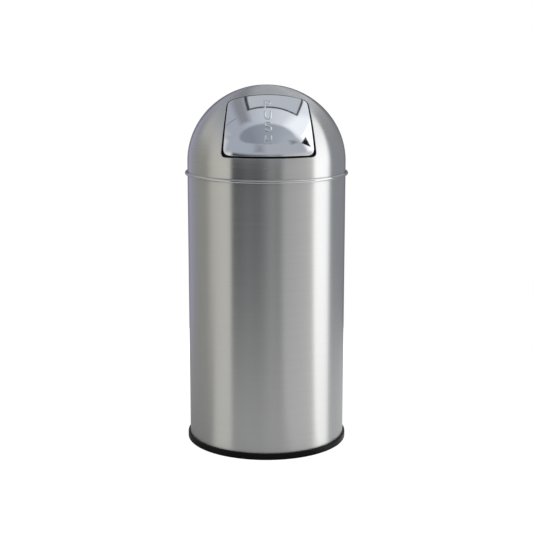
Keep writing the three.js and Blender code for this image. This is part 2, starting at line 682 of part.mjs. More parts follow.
// A lug riveted inside the liner's mouth that stands above its rim and carries the bail
function bailLug(side) {
  const ring = turned([
    [lugInside, pivotHeight - LUG_BELOW], [lugOutside, pivotHeight - LUG_BELOW],
    [lugOutside, pivotHeight + LUG_ABOVE], [lugInside, pivotHeight + LUG_ABOVE],
  ]);
  const spanX = [side * (lugInside - LUG_HALF_WIDTH), side * linerOutside];
  const spanZ = [pivotHeight - LUG_BELOW, pivotHeight + LUG_ABOVE];
  const strip = block(spanX, [-LUG_HALF_WIDTH, LUG_HALF_WIDTH], spanZ);
  const pivotHole = barX(BAIL_WIRE_RADIUS + FIT, spanX, 0, pivotHeight);
  return ring.intersect(strip).subtract(rivetHoles(side)).subtract(pivotHole);
}

// A rivet through the lug and the liner's wall, with a head on each side, drawn along X
function rivet() {
  const half = (linerOutside - lugInside) / 2 + FIT;
  const tip = half + RIVET_HEAD_HEIGHT;
  const profile = [
    [0, -tip], [RIVET_CROWN_RADIUS, -tip], [RIVET_HEAD_RADIUS, -half], [RIVET_RADIUS, -half],
    [RIVET_RADIUS, half], [RIVET_HEAD_RADIUS, half], [RIVET_CROWN_RADIUS, tip], [0, tip],
  ];
  return solid(latheGeometry(profile, SMALL_SIDES).rotateZ(Math.PI / 2));
}

class HalfHoop extends THREE.Curve {
  constructor(radius, height) {
    super();
    this.radius = radius;
    this.height = height;
  }

  getPoint(share, target = new THREE.Vector3()) {
    const angle = Math.PI * share;
    return target.set(this.radius * Math.cos(angle), this.radius * Math.sin(angle), this.height);
  }
}

// The bail lies folded back on the liner's rim: a half hoop whose ends turn in through the lugs
function bail() {
  const headRadius = BAIL_WIRE_RADIUS + BAIL_HEAD_WIDTH;
  const end = lugInside - BAIL_END;
  const hoop = new HalfHoop(linerRimRadius, pivotHeight);
  let handle = solid(wire(hoop, BAIL_WIRE_RADIUS, BAIL_STEPS, SMALL_SIDES));
  for (const [, side] of sides) {
    const elbow = new THREE.SphereGeometry(BAIL_WIRE_RADIUS, SMALL_SIDES, SMALL_SIDES - 2);
    const pivot = barX(BAIL_WIRE_RADIUS, [side * end, side * linerRimRadius], 0, pivotHeight);
    const head = barX(headRadius, [side * end, side * (end - BAIL_HEAD_THICKNESS)], 0, pivotHeight);
    handle = handle.add(solid(elbow.translate(side * linerRimRadius, 0, pivotHeight))).add(pivot).add(head);
  }
  return handle;
}

place(linerGroup, 'liner_wall', linerWall(), galvanised);
const linerBase = pressedPlate(linerInside - FIT, linerFoot + LINER_BASE_RISE, linerFoot, LINER_SHEET);
place(linerGroup, 'liner_base', linerBase, galvanised);
place(linerGroup, 'bail', bail(), springSteel);
for (const [name, side] of sides) {
  place(linerGroup, `${name}_bail_lug`, bailLug(side), galvanised);
  rivetHeights.forEach((height, i) => {
    const mesh = place(linerGroup, `${name}_${levels[i]}_lug_rivet`, rivet(), galvanised);
    mesh.position.set((side * (linerOutside + lugInside)) / 2, 0, height);
  });
}

export default bin;
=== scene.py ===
import math

import bmesh
import bpy
import numpy as np
from mathutils import Matrix, Vector
from mathutils.geometry import delaunay_2d_cdt


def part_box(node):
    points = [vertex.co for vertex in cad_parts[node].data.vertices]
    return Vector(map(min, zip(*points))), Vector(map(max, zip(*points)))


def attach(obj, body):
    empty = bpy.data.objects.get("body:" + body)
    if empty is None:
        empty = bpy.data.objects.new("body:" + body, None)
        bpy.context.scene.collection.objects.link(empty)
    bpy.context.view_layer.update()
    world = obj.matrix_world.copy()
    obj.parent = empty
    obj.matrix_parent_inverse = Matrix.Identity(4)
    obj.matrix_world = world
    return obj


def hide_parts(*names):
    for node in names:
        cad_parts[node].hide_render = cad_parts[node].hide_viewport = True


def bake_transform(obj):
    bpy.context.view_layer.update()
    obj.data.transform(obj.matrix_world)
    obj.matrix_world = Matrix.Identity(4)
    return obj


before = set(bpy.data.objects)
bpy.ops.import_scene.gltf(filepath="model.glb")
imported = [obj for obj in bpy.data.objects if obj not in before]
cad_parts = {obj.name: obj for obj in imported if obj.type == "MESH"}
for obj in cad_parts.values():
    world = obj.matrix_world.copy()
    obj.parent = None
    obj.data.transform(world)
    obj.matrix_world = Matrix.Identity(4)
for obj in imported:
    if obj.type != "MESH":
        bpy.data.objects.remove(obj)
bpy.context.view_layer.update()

# A dome top waste bin with a push flap. Lengths are in millimetres; a mesh is made in metres.
MM = 0.001


def cad(node):
    """Lowest and highest corner of a CAD node, in millimetres."""
    low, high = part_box(node)
    return low / MM, high / MM


def middle_of(node):
    low, high = cad(node)
    return (low + high) / 2


# ---- Sizes ----

SHEET = 0.8
FIT = 0.3
BODY_RADIUS = cad("dome_shell")[1].x
BODY_INSIDE = BODY_RADIUS - SHEET
BODY_FOOT = cad("body_shell")[0].z
RIM_OUTSIDE = cad("body_shell")[1].x
RIM_TOP = cad("body_shell")[1].z
RIM_HALF_DEPTH = (RIM_OUTSIDE - BODY_INSIDE) / 2
RIM_HALF_HEIGHT = 3.4
RIM_MIDDLE = RIM_TOP - RIM_HALF_HEIGHT
CURL_END = -125.0
DOME_TOP = cad("dome_shell")[1].z
DOME_FOOT = cad("dome_shell")[0].z
SKIRT_RISE = 23.8  # from the rim's middle to where the dome's curve starts
DOME_START = RIM_MIDDLE + SKIRT_RISE
DOME_RISE = DOME_TOP - DOME_START
RING_OUTSIDE = cad("base_ring")[1].x
RING_TOP = cad("base_ring")[1].z
RING_ROUNDING = 2.0
RING_FLOOR = 3.7
RING_LIP_HEIGHT = 9.0
RING_LIP_WIDTH = 2.8
PAN_SHEET = 0.8
WELD_HALF_WIDTH = 1.1
WELD_HEIGHT = 0.15
WELD_TILT = 0.27  # how far the normals lean over at its sides
COLLAR_SHEET = 1.2
COLLAR_CLEARANCE = 1.0
COLLAR_JOG = 4.0
COLLAR_JOG_SLOPE = 3.0
COLLAR_BEND = 2.0

# The door lies in a plane that leans back; "along" runs up that plane from the sill, "across" to the right
DOOR_LEAN = math.radians(35.6)
DOOR_SILL = 22.6
DOOR_LENGTH = 152.8
DOOR_HALF_WIDTH = 98.6
DOOR_TAPER = 0.103
DOOR_TOP_CORNER = 14.0
DOOR_SILL_CORNER = 10.0
FLAP_OUTLINE = {"side": 2.2, "flare": 0.012, "top": 1.8, "sill": 3.6, "sill_corner": 14.0}
PANEL_SHEET = 1.2
PANEL_RETURN = 3.0
PANEL_ROUNDING = 0.9
FRAME_DEPTH = 3.4
FRAME_WALL = 2.0
STUD_RADIUS = 2.0
STUD_SEAT = 10.5
STUD_TIP = 3.2
STUD_ROOT = 1.5 * PANEL_SHEET
STUD_PLACES = [(31.5, 38.0), (16.0, 112.0)]  # in from the door's side, up from its sill
NUT_HALF_HEIGHT = 0.65
NUT_CONE_END = 0.3
BUFFER_ALONG = 46.0
BUFFER_OUTSIDE = 3.5
BUFFER_HEAD = 4.0
BUFFER_STEM = 1.7
BUFFER_BARB = 2.8
BUFFER_TAIL = 2.0

SPRING_WIRE = 0.6
SPRING_SLACK = 1.6
SPRING_TURNS = 6
SPRING_FLAP_LEG = 40.0
SPRING_LID_LEG = 20.0
BRACKET_BACK = 2.6
RUNNING_FIT = 0.5

LINER_SHEET = 0.6
LINER_RIM_HALF = 2.8
LUG_SHEET = 1.5
RIVET_SHANK = 2.0
RIVET_HEAD_HEIGHT = 1.3
RIVET_CROWN = 1.5
RIVET_CROWN_SHARE = 0.75
BAIL_WIRE = 2.5
BAIL_END = 6.0
BAIL_HEAD_WIDTH = 1.3
BAIL_HEAD_THICKNESS = 1.6
BAIL_BEND = 7.0

PIN_LOW, PIN_HIGH = cad("hinge_pin")
PIN = middle_of("hinge_pin")
PIN_RADIUS = (PIN_HIGH.z - PIN_LOW.z) / 2
PIVOT_HEIGHT = middle_of("bail").z
LINER_FOOT = cad("liner_wall")[0].z
LINER_RIM_TOP = cad("liner_wall")[1].z
LINER_RIM_RADIUS = cad("liner_wall")[1].x - LINER_RIM_HALF
LINER_INSIDE = LINER_RIM_RADIUS - LINER_RIM_HALF
BAIL_TIP = LINER_INSIDE - FIT - LUG_SHEET - BAIL_END

# Fillets, from the sharpest to the roundest
SHARP_EDGE = 0.1
CRISP_EDGE = 0.2
FINE_EDGE = 0.3
MOULDED_EDGE = 0.35
SMALL_EDGE = 0.4
BLUNT_EDGE = 0.5
ROUND_EDGE = 0.8

SILL_RADIUS = BODY_RADIUS * math.sqrt(1 - (DOOR_SILL / DOME_RISE) ** 2)
DOOR_ORIGIN = Vector((0, -SILL_RADIUS, DOME_START + DOOR_SILL))
DOOR_UP = Vector((0, math.sin(DOOR_LEAN), math.cos(DOOR_LEAN)))
DOOR_OUT = Vector((0, -math.cos(DOOR_LEAN), math.sin(DOOR_LEAN)))

# ---- The dome's skin and the door in it ----


def door_point(across, along, out):
    return DOOR_ORIGIN + Vector((across, 0, 0)) + DOOR_UP * along + DOOR_OUT * out


def skin_reach(across, along):
    """How far the dome's skin stands out of the door's plane at a place on it."""
    scale = Vector((1 / BODY_RADIUS, 1 / BODY_RADIUS, 1 / DOME_RISE))
    p = (door_point(across, along, 0) - Vector((0, 0, DOME_START))) * scale
    q = DOOR_OUT * scale
    a, half_b = q.dot(q), p.dot(q)
    return (-half_b + math.sqrt(half_b * half_b - a * (p.dot(p) - 1))) / a


def skin_point(across, along):
    return door_point(across, along, skin_reach(across, along))


def skin_normal(point):
    rise = max(point.z - DOME_START, 0) * (BODY_RADIUS / DOME_RISE) ** 2
    return Vector((point.x, point.y, rise)).normalized()


def dome_height(x, y, depth):
    """Height of the surface that lies "depth" inside the dome's skin."""
    radius = BODY_RADIUS - depth
    return DOME_START + (DOME_RISE - depth) * math.sqrt(1 - (x * x + y * y) / (radius * radius))


def door_half(along):
    return DOOR_HALF_WIDTH - DOOR_TAPER * along


def sill_lift(across):
    return (SILL_RADIUS - math.sqrt(SILL_RADIUS**2 - across**2)) * math.sin(DOOR_LEAN)


def quadratic(start, middle, end, steps):
    """Points of a curved corner, without its start."""
    shares = [i / steps for i in range(1, steps + 1)]
    return [start * (1 - t) ** 2 + middle * 2 * t * (1 - t) + end * t * t for t in shares]


def straight(start, end, steps):
    return [start.lerp(end, i / steps) for i in range(1, steps + 1)]


CORNER_STEPS, SIDE_STEPS, EDGE_STEPS = 8, 30, 40


def door_outline(side=0.0, flare=0.0, top=0.0, sill=0.0, sill_corner=DOOR_SILL_CORNER):
    """The door's outline on its plane, drawn in by a gap on each side, anticlockwise from the sill's left."""

    def half(along):
        return door_half(along) - side - flare * (DOOR_LENGTH - along)

    upper = DOOR_LENGTH - top
    corner = sill
    for _ in range(CORNER_STEPS):
        corner = sill + sill_lift(half(corner))
    side_start = corner + sill_corner
    side_end = upper - DOOR_TOP_CORNER
    sill_end = half(corner) - sill_corner
    top_end = half(upper) - DOOR_TOP_CORNER
    across = [sill_end * (2 * i / EDGE_STEPS - 1) for i in range(EDGE_STEPS + 1)]
    points = [Vector((x, sill + sill_lift(x))) for x in across]
    lower_end, upper_start = Vector((half(side_start), side_start)), Vector((half(side_end), side_end))
    points += quadratic(points[-1], Vector((half(corner), corner)), lower_end, CORNER_STEPS)
    points += straight(lower_end, upper_start, SIDE_STEPS)
    points += quadratic(upper_start, Vector((half(upper), upper)), Vector((top_end, upper)), CORNER_STEPS)
    mirrored = [Vector((-p.x, p.y)) for p in reversed(points[EDGE_STEPS:])]
    top_edge = straight(points[-1], Vector((-top_end, upper)), EDGE_STEPS)
    return points + top_edge + mirrored[1:-1]


def grown(outline, distance):
    """The outline moved out by a distance on its plane; a negative one moves it in."""
    moved = []
    for i, point in enumerate(outline):
        way = (outline[(i + 1) % len(outline)] - outline[i - 1]).normalized()
        moved.append(point + Vector((way.y, -way.x)) * distance)
    return moved


def inside(outline, x, y):
    """Whether points (arrays x and y) lie inside a closed outline."""
    found = np.zeros(len(x), bool)
    for i, b in enumerate(outline):
        a = outline[i - 1]
        if a.y != b.y:
            found ^= ((a.y > y) != (b.y > y)) & (x < (b.x - a.x) * (y - a.y) / (b.y - a.y) + a.x)
    return found


# ---- Profiles: (point, outward normal) pairs, anticlockwise round the solid ----

STRAIGHT = 1e-4
MOST_OF_SIDE = 0.45  # the share of a side that a fillet may take up
FILLET_STEPS = 5


def soften(corners, closed=True):
    """Rounds [x, y, fillet] corners."""
    result = []
    for i, (x, y, fillet) in enumerate(corners):
        here = Vector((x, y))
        if not closed and i in (0, len(corners) - 1):
            other = Vector(corners[1 if i == 0 else i - 1][:2])
            way = (other - here if i == 0 else here - other).normalized()
            result.append((here, Vector((way.y, -way.x))))
            continue
        before, after = Vector(corners[i - 1][:2]), Vector(corners[(i + 1) % len(corners)][:2])
        come, go = (here - before).normalized(), (after - here).normalized()
        turn = math.atan2(come.x * go.y - come.y * go.x, come.dot(go))
        slope = abs(math.tan(turn / 2))
        if slope < STRAIGHT:
            result.append((here, Vector((come.y, -come.x))))
            continue
        room = min((here - before).length, (after - here).length) * MOST_OF_SIDE
        cut = min(fillet * slope, room)
        radius = math.copysign(cut / slope, turn)
        first = Vector((come.y, -come.x))
        centre = here - come * cut - first * radius
        for k in range(FILLET_STEPS + 1):
            normal = Matrix.Rotation(turn * k / FILLET_STEPS, 2) @ first
            result.append((centre + normal * radius, normal))
    return result


def rod(radius, low, high, low_fillet, high_fillet):
    """Half the outline of a rod that stands on the axis."""
    corners = [[0, low, 0], [radius, low, low_fillet], [radius, high, high_fillet], [0, high, 0]]
    return soften(corners, closed=False)


def oval(x, y, half_width, half_height, start, end, steps):
    """Part of an oval; angles in degrees, anticlockwise from its right."""
    result = []
    for i in range(steps + 1):
        angle = math.radians(start + (end - start) * i / steps)
        c, s = math.cos(angle), math.sin(angle)
        point = Vector((x + half_width * c, y + half_height * s))
        result.append((point, Vector((c / half_width, s / half_height)).normalized()))
    return result


def flipped(profile):
    return [(point, -normal) for point, normal in profile]


def curled_wall(inside_radius, outside_radius, foot, middle_height, half_depth, half_height, sheet, steps=48):
    """A sheet wall whose top curls outward into a bead."""
    middle = inside_radius + half_depth
    outer = oval(middle, middle_height, half_depth, half_height, CURL_END, 180, steps)
    inner = oval(middle, middle_height, half_depth - sheet, half_height - sheet, 180, CURL_END, steps)
    out = Vector((1, 0))
    outer_foot = (Vector((outside_radius, foot)), out)
    inner_foot = (Vector((inside_radius, foot)), -out)
    return [outer_foot] + flipped(inner) + outer + [inner_foot]


# ---- Meshes ----


def linked(name, data):
    """An object in the scene that holds the data."""
    made = bpy.data.objects.new(name, data)
    bpy.context.scene.collection.objects.link(made)
    return made
def piece(name, points, faces, normals=None, smooth=True):
    """A mesh object from points in millimetres, with its own normals where they are given."""
    mesh = bpy.data.meshes.new(name)
    mesh.from_pydata([tuple(c * MM for c in p) for p in points], [], faces)
    mesh.polygons.foreach_set("use_smooth", [smooth] * len(mesh.polygons))
    mesh.update()
    if normals is not None:
        mesh.normals_split_custom_set_from_vertices([tuple(n) for n in normals])
    return linked(name, mesh)


def placed(made, body, slot, material, *stands_for):
    """Gives a piece its finish, the body it rides on and the CAD nodes it stands for."""
    made.data.materials.clear()
    made.data.materials.append(material)
    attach(made, body)
    if stands_for:
        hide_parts(*stands_for)
    return made


def circle(steps):
    """Cosine and sine of equal steps round a circle."""
    turn = [2 * math.pi * k / steps for k in range(steps)]
    return [(math.cos(angle), math.sin(angle)) for angle in turn]


BIG_TURN, SMALL_TURN = 192, 32
ON_AXIS = 1e-6


def lathe(name, profile, steps=BIG_TURN, matrix=None):
    """Turns a profile about Z. One that starts on the axis ends on it; any other joins up."""
    points, normals, faces, rings = [], [], [], []
    for (radius, height), (out, up) in profile:
        count = 1 if abs(radius) < ON_AXIS else steps
        rings.append([len(points) + k % count for k in range(steps)])
        for c, s in circle(steps)[:count]:
            points.append(Vector((radius * c, radius * s, height)))
            if count == 1:
                out, up, s = 0, math.copysign(1, up), 0
            normals.append(Vector((out * c, out * s, up)))
    upper_rings = rings[1:] if abs(profile[0][0].x) < ON_AXIS else rings[1:] + rings[:1]
    for low, high in zip(rings, upper_rings):
        for k in range(steps):
            n = (k + 1) % steps
            face = [low[k], low[n], high[n], high[k]]
            faces.append([v for i, v in enumerate(face) if v != face[i - 1]])
    if matrix is not None:
        turn = matrix.to_3x3()
        points = [matrix @ p for p in points]
        normals = [turn @ n for n in normals]
    return piece(name, points, faces, normals)


def standing(origin, axis):
    """A frame at a point whose Z runs along an axis."""
    return Matrix.Translation(origin) @ axis.to_track_quat("Z", "Y").to_matrix().to_4x4()


def bridge(first, second):
    """Quads between two rings of as many points."""
    return [[first[i - 1], first[i], second[i], second[i - 1]] for i in range(len(first))]


def tube(name, centres, radius, sides=20):
    """A round wire along points, with rounded-off flat ends."""
    points, normals, faces = [], [], []
    across = (centres[1] - centres[0]).orthogonal().normalized()
    last = len(centres) - 1
    for i, centre in enumerate(centres):
        way = (centres[min(i + 1, last)] - centres[max(i - 1, 0)]).normalized()
        across = (across - way * across.dot(way)).normalized()
        up = way.cross(across)
        for c, s in circle(sides):
            normal = across * c + up * s
            points.append(centre + normal * radius)
            normals.append(normal)
    for i in range(last):
        low = list(range(i * sides, (i + 1) * sides))
        faces += bridge(low, [v + sides for v in low])
    faces.append(list(reversed(range(sides))))
    faces.append(list(range(last * sides, (last + 1) * sides)))
    return piece(name, points, faces, normals)


JOIN_DISTANCE = 0.02
FLAT_ANGLE = math.radians(1)
SMOOTH_ANGLE = math.radians(35)


def refined(name, node, bevel):
    """A CAD node's own shape with its flats joined, its edges rounded and its curves shaded smooth."""
    mesh = bpy.data.meshes.new(name)
    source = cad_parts[node]
    shape = bmesh.new()
    shape.from_mesh(source.data)
    shape.transform(source.matrix_world)
    bmesh.ops.remove_doubles(shape, verts=shape.verts, dist=JOIN_DISTANCE * MM)
    bmesh.ops.dissolve_limit(shape, angle_limit=FLAT_ANGLE, verts=shape.verts, edges=shape.edges)
    shared = [e for e in shape.edges if len(e.link_faces) == 2]
    sharp = [e for e in shared if e.calc_face_angle(0) > SMOOTH_ANGLE]
    bmesh.ops.bevel(
        shape, geom=sharp, offset=bevel * MM, segments=2, profile=0.5, affect="EDGES", clamp_overlap=True
    )
    for face in shape.faces:
        face.smooth = True
    for edge in shape.edges:
        edge.smooth = len(edge.link_faces) == 2 and edge.calc_face_angle(0) < SMOOTH_ANGLE
    shape.to_mesh(mesh)
    shape.free()
    return linked(name, mesh)


def edge_rings(outline, profile):
    """Rings along an outline on the dome; the profile's points are (out from it, up from the skin)."""
    points, normals, rings = [], [], []
    for place, normal in profile:
        here = [skin_point(*p) for p in grown(outline, place.x)]
        beyond = [skin_point(*p) for p in grown(outline, place.x + 1)]
        rings.append(list(range(len(points), len(points) + len(outline))))
        for a, b in zip(here, beyond):
            up = skin_normal(a)
            way = b - a
            way = (way - up * way.dot(up)).normalized()
            points.append(a + up * place.y)
            normals.append(way * normal.x + up * normal.y)
    return points, normals, rings


SAME_PLACE = 1e-7


def fill(boundary, others, hole=False):
    """Triangles over 2-D points, within a boundary or, for a hole, outside it."""
    count = len(boundary)
    edges = [(i, (i + 1) % count) for i in range(count)]
    found, _, faces, _, _, _ = delaunay_2d_cdt(boundary + others, edges, [], 0, SAME_PLACE)
    if len(found) != count + len(others):
        raise ValueError("points of the skin fell together")
    centres = np.array([sum((found[v] for v in f), Vector((0, 0))) / 3 for f in faces])
    within = inside(boundary, centres[:, 0], centres[:, 1])
    return [f for f, kept in zip(faces, within != hole) if kept]


def two_skins(name, edge, outer, ups, triangles, sheet, outer_normals=None, open_rim=0):
    """Closes edge rings with an outer skin and the same skin a sheet's thickness inside it.

    "ups" pairs the skin's points, without any relief, with its normals. With an open rim the edge is that
    of a hole, and the last points of both skins, as many as the rim has, are joined into the other edge.
    """
    points, normals, rings = edge
    faces, rims = [], []
    for a, b in zip(rings, rings[1:]):
        faces += bridge(a, b) if open_rim else bridge(b, a)
    inner = [p - n * sheet for p, n in ups]
    outward = outer_normals or [n for _, n in ups]
    for ring, skin, skin_normals, way in (
        (rings[0], outer, outward, 1),
        (rings[-1], inner, [-n for _, n in ups], -1),
    ):
        index = ring + list(range(len(points), len(points) + len(skin)))
        points += skin
        normals += skin_normals
        faces += [[index[v] for v in t[::way]] for t in triangles]
        rims.append(index[len(index) - open_rim:])
    if open_rim:
        faces += bridge(rims[1], rims[0])
    return piece(name, points, faces, normals)


# ---- Materials ----


class Nodes:
    """Short calls for a node tree."""

    def __init__(self, tree):
        self.tree = tree

    def feed(self, socket, value):
        if isinstance(value, bpy.types.NodeSocket):
            self.tree.links.new(value, socket)
        else:
            socket.default_value = value

    def node(self, kind, settings=None, **inputs):
        made = self.tree.nodes.new("ShaderNode" + kind)
        for key, value in (settings or {}).items():
            setattr(made, key, value)
        for key, value in inputs.items():
            self.feed(made.inputs[key], value)
        return made

    def math(self, operation, *values):
        made = self.node("Math", {"operation": operation})
        for socket, value in zip(made.inputs, values):
            self.feed(socket, value)
        return made.outputs[0]

    def spread(self, value, low, high, new_low=0.0, new_high=1.0):
        made = self.node("MapRange")
        for socket, given in zip(made.inputs, (value, low, high, new_low, new_high)):
            self.feed(socket, given)
        return made.outputs[0]

    def squares(self, a, b):
        """The sum of two squares."""
        return self.math("ADD", self.math("POWER", a, 2.0), self.math("POWER", b, 2.0))

    def mix(self, share, a, b):
        made = self.node("Mix", {"data_type": "RGBA"})
        for socket, value in ((made.inputs[0], share), (made.inputs[6], a), (made.inputs[7], b)):
            self.feed(socket, value)
        return made.outputs[2]

    def shade(self, place, start, end, first, last):
        """A colour that changes from the first to the last between two places."""
        return self.mix(self.spread(place, start, end), (*first, 1), (*last, 1))

    def split(self, vector):
        return self.node("SeparateXYZ", Vector=vector).outputs

    def card(self, under, place, corners, soft, color):
        """Lays a convex patch of a colour, its corners anticlockwise, over what is under it."""
        depth = None
        for (ax, ay), (bx, by) in zip(corners, corners[1:] + corners[:1]):
            length = math.hypot(bx - ax, by - ay)
            across, along = (ay - by) / length, (bx - ax) / length
            terms = self.math("MULTIPLY", place[0], across), self.math("MULTIPLY", place[1], along)
            reach = self.math("SUBTRACT", self.math("ADD", *terms), ax * across + ay * along)
            depth = reach if depth is None else self.math("MINIMUM", depth, reach)
        return self.mix(self.spread(depth, -soft, soft), under, (*color, 1))

    def noise(self, vector, scale, detail=2.0, roughness=0.5):
        settings = {"Scale": scale, "Detail": detail, "Roughness": roughness}
        return self.node("TexNoise", Vector=vector, **settings).outputs[0]


CONTRAST = (0.3, 0.7)  # holds nearly all values of a noise


class Finish(Nodes):
    """A material with one Principled shader; the numbers given hold all over it."""

    def __init__(self, name, color, **numbers):
        self.material = bpy.data.materials.new(name)
        self.material.use_nodes = True
        super().__init__(self.material.node_tree)
        self.out = self.tree.nodes["Principled BSDF"]
        self.out.inputs["Base Color"].default_value = (*color, 1)
        for key, value in numbers.items():
            self.out.inputs[key.replace("_", " ")].default_value = value
        self.place = self.node("TexCoord").outputs["Object"]

    def use(self, socket, value):
        self.feed(self.out.inputs[socket], value)

    def bump(self, height, distance, strength):
        made = self.node("Bump", Height=height, Distance=distance, Strength=strength)
        self.use("Normal", made.outputs[0])


    def patched(self, scale, detail, colors, roughness, grain, depth):
        """Soft patches of two colours and of gloss, under a fine even grain."""
        patches = self.noise(self.place, scale, detail)
        self.use("Base Color", self.mix(patches, *colors))
        self.use("Roughness", self.spread(patches, *CONTRAST, *roughness))
        self.bump(self.noise(self.place, grain), depth, strength=0.3)
        return self.material


def tint(color, factor):
    return tuple(min(c * factor, 1.0) for c in color) + (1,)


BEAD_ROUGHNESS = 0.10
STREAKS = [(2.4, 2600.0, 3.0), (0.7, 160.0, 2.0)]  # fine and broad ones: per radian, per metre, detail
FINE_CONTRAST = 0.09
BROAD_CONTRAST = 0.06
STREAK_TINT = 0.12


def brushed_steel(name, color, roughness):
    """Sheet brushed round the bin: fine lines round it, and gloss spread up and down but on the bead."""
    finish = Finish(name, color, Metallic=1.0, Anisotropic=0.97, Anisotropic_Rotation=0.25)
    x, y, z = finish.split(finish.place)
    around = finish.math("ARCTAN2", x, finish.math("MULTIPLY", y, -1.0))
    distance = finish.math("SQRT", finish.squares(x, y))
    rise = finish.math("MAXIMUM", finish.math("SUBTRACT", z, DOME_START * MM), 0.0)
    curve = finish.math("MULTIPLY", finish.math("ARCTAN2", rise, distance), BODY_RADIUS * MM)
    up = finish.math("ADD", finish.math("MINIMUM", z, DOME_START * MM), curve)
    turned = finish.math("ABSOLUTE", around)
    streaks = []
    for per_radian, per_metre, detail in STREAKS:
        across = finish.math("MULTIPLY", turned, per_radian)
        along = finish.math("MULTIPLY", up, per_metre)
        both = finish.node("CombineXYZ", X=across, Y=along, Z=finish.math("SIGN", around))
        streaks.append(finish.noise(both.outputs[0], 1.0, detail))
    fine, broad = streaks
    fine_share = finish.spread(fine, *CONTRAST, 0.5 - FINE_CONTRAST, 0.5 + FINE_CONTRAST)
    broad_share = finish.spread(broad, *CONTRAST, -BROAD_CONTRAST, BROAD_CONTRAST)
    share = finish.math("ADD", fine_share, broad_share)
    finish.use("Base Color", finish.mix(share, tint(color, 1 - STREAK_TINT), tint(color, 1 + STREAK_TINT)))
    gloss = finish.spread(broad, 0.25, 0.75, roughness - 0.02, roughness + 0.02)
    on_bead = finish.math("COMPARE", z, RIM_MIDDLE * MM, RIM_HALF_HEIGHT * MM)
    finish.use("Roughness", finish.spread(on_bead, 0.0, 1.0, gloss, BEAD_ROUGHNESS))
    tangent = finish.node("Tangent", {"direction_type": "RADIAL", "axis": "Z"})
    finish.use("Tangent", tangent.outputs[0])
    finish.bump(fine, distance=0.00002, strength=0.1)
    return finish.material


def mirror_chrome(name):
    """Bright plating over a pressing that is not quite flat, with a trace of haze."""
    finish = Finish(name, (0.80, 0.81, 0.83), Metallic=1.0)
    haze = finish.noise(finish.place, scale=140.0, detail=3.0)
    finish.use("Roughness", finish.spread(haze, 0.35, 0.75, new_low=0.04, new_high=0.09))
    waves = finish.noise(finish.place, scale=28.0, detail=1.0)
    finish.bump(waves, distance=0.0004, strength=0.25)
    return finish.material


def galvanised_sheet(name):
    """Zinc coat with its crystals in slightly different greys."""
    finish = Finish(name, (0.56, 0.58, 0.59), Metallic=0.95)
    wobble = finish.node("TexNoise", Vector=finish.place, Scale=60.0)
    warp = (0.012, 0.012, 0.012)
    warped = finish.node("VectorMath", {"operation": "MULTIPLY_ADD"})
    for socket, value in zip(warped.inputs, (wobble.outputs[1], warp, finish.place)):
        finish.feed(socket, value)
    crystals = finish.node("TexVoronoi", Vector=warped.outputs[0], Scale=95.0)
    tone = finish.node("SeparateColor", Color=crystals.outputs["Color"]).outputs[0]
    finish.use("Base Color", finish.mix(tone, (0.46, 0.48, 0.49, 1), (0.66, 0.68, 0.69, 1)))
    finish.use("Roughness", finish.spread(tone, 0.0, 1.0, new_low=0.36, new_high=0.52))
    finish.bump(wobble.outputs[0], distance=0.0003, strength=0.2)
    return finish.material


def plated_metal(name):
    """Zinc plated wire and turned parts: fine grain and duller patches."""
    colors = (0.5, 0.51, 0.53, 1), (0.72, 0.72, 0.7, 1)
    finish = Finish(name, (0.6, 0.61, 0.62), Metallic=1.0)
    return finish.patched(55.0, 4.0, colors, roughness=(0.22, 0.4), grain=900.0, depth=0.00005)


def moulded(name, color, roughness, gloss):
    """A black moulded material with a fine even grain."""
    colors = tint(color, 0.8), tint(color, 1.3)
    range_of_gloss = (roughness - 0.04, roughness + 0.05)
    finish = Finish(name, color, Specular_IOR_Level=gloss)
    return finish.patched(22.0, 3.0, colors, range_of_gloss, grain=1400.0, depth=0.00006)


BRUSHED = brushed_steel("brushed stainless sheet", (0.63, 0.63, 0.62), 0.30)
SPUN = brushed_steel("spun stainless sheet", (0.63, 0.63, 0.62), 0.26)
ROLLED = brushed_steel("rolled stainless strip", (0.60, 0.60, 0.59), 0.36)
CHROME = mirror_chrome("bright chrome plating")
GALVANISED = galvanised_sheet("galvanised sheet")
PLATED = plated_metal("zinc plated metal")
BLACK = moulded("black moulded plastic", (0.003, 0.003, 0.0033), 0.3, 0.12)
RUBBER = moulded("black rubber", (0.01, 0.01, 0.01), 0.8, 0.3)

# ---- Body ----

SIDES = [("left", -1), ("right", 1)]

body_skin = curled_wall(
    BODY_INSIDE, BODY_RADIUS, BODY_FOOT, RIM_MIDDLE, RIM_HALF_DEPTH, RIM_HALF_HEIGHT, SHEET
)
placed(lathe("body_skin", body_skin), "bin_body", "brushed_steel", BRUSHED, "body_shell")


def weld_seam():
    """The ground weld down the body's back: a low narrow bead."""
    low, high = RING_TOP + FIT, RIM_MIDDLE - RIM_HALF_HEIGHT - FIT
    count = 9
    points, normals = [], []
    for height in (low, high):
        for k in range(count):
            share = 2 * k / (count - 1) - 1
            # The outermost points lie inside the sheet
            lift = -SHEET / 4 if abs(share) == 1 else WELD_HEIGHT * (1 - share * share)
            angle = math.pi / 2 - share * WELD_HALF_WIDTH / BODY_RADIUS
            out = Vector((math.cos(angle), math.sin(angle), 0))
            points.append(out * (BODY_RADIUS + lift) + Vector((0, 0, height)))
            normals.append((out + Vector((share * WELD_TILT, 0, 0))).normalized())
    foot, head = list(range(count)), list(range(count, 2 * count))
    return piece("back_weld", points, bridge(head, foot) + [foot, head[::-1]], normals)


placed(weld_seam(), "bin_body", "brushed_steel", BRUSHED)


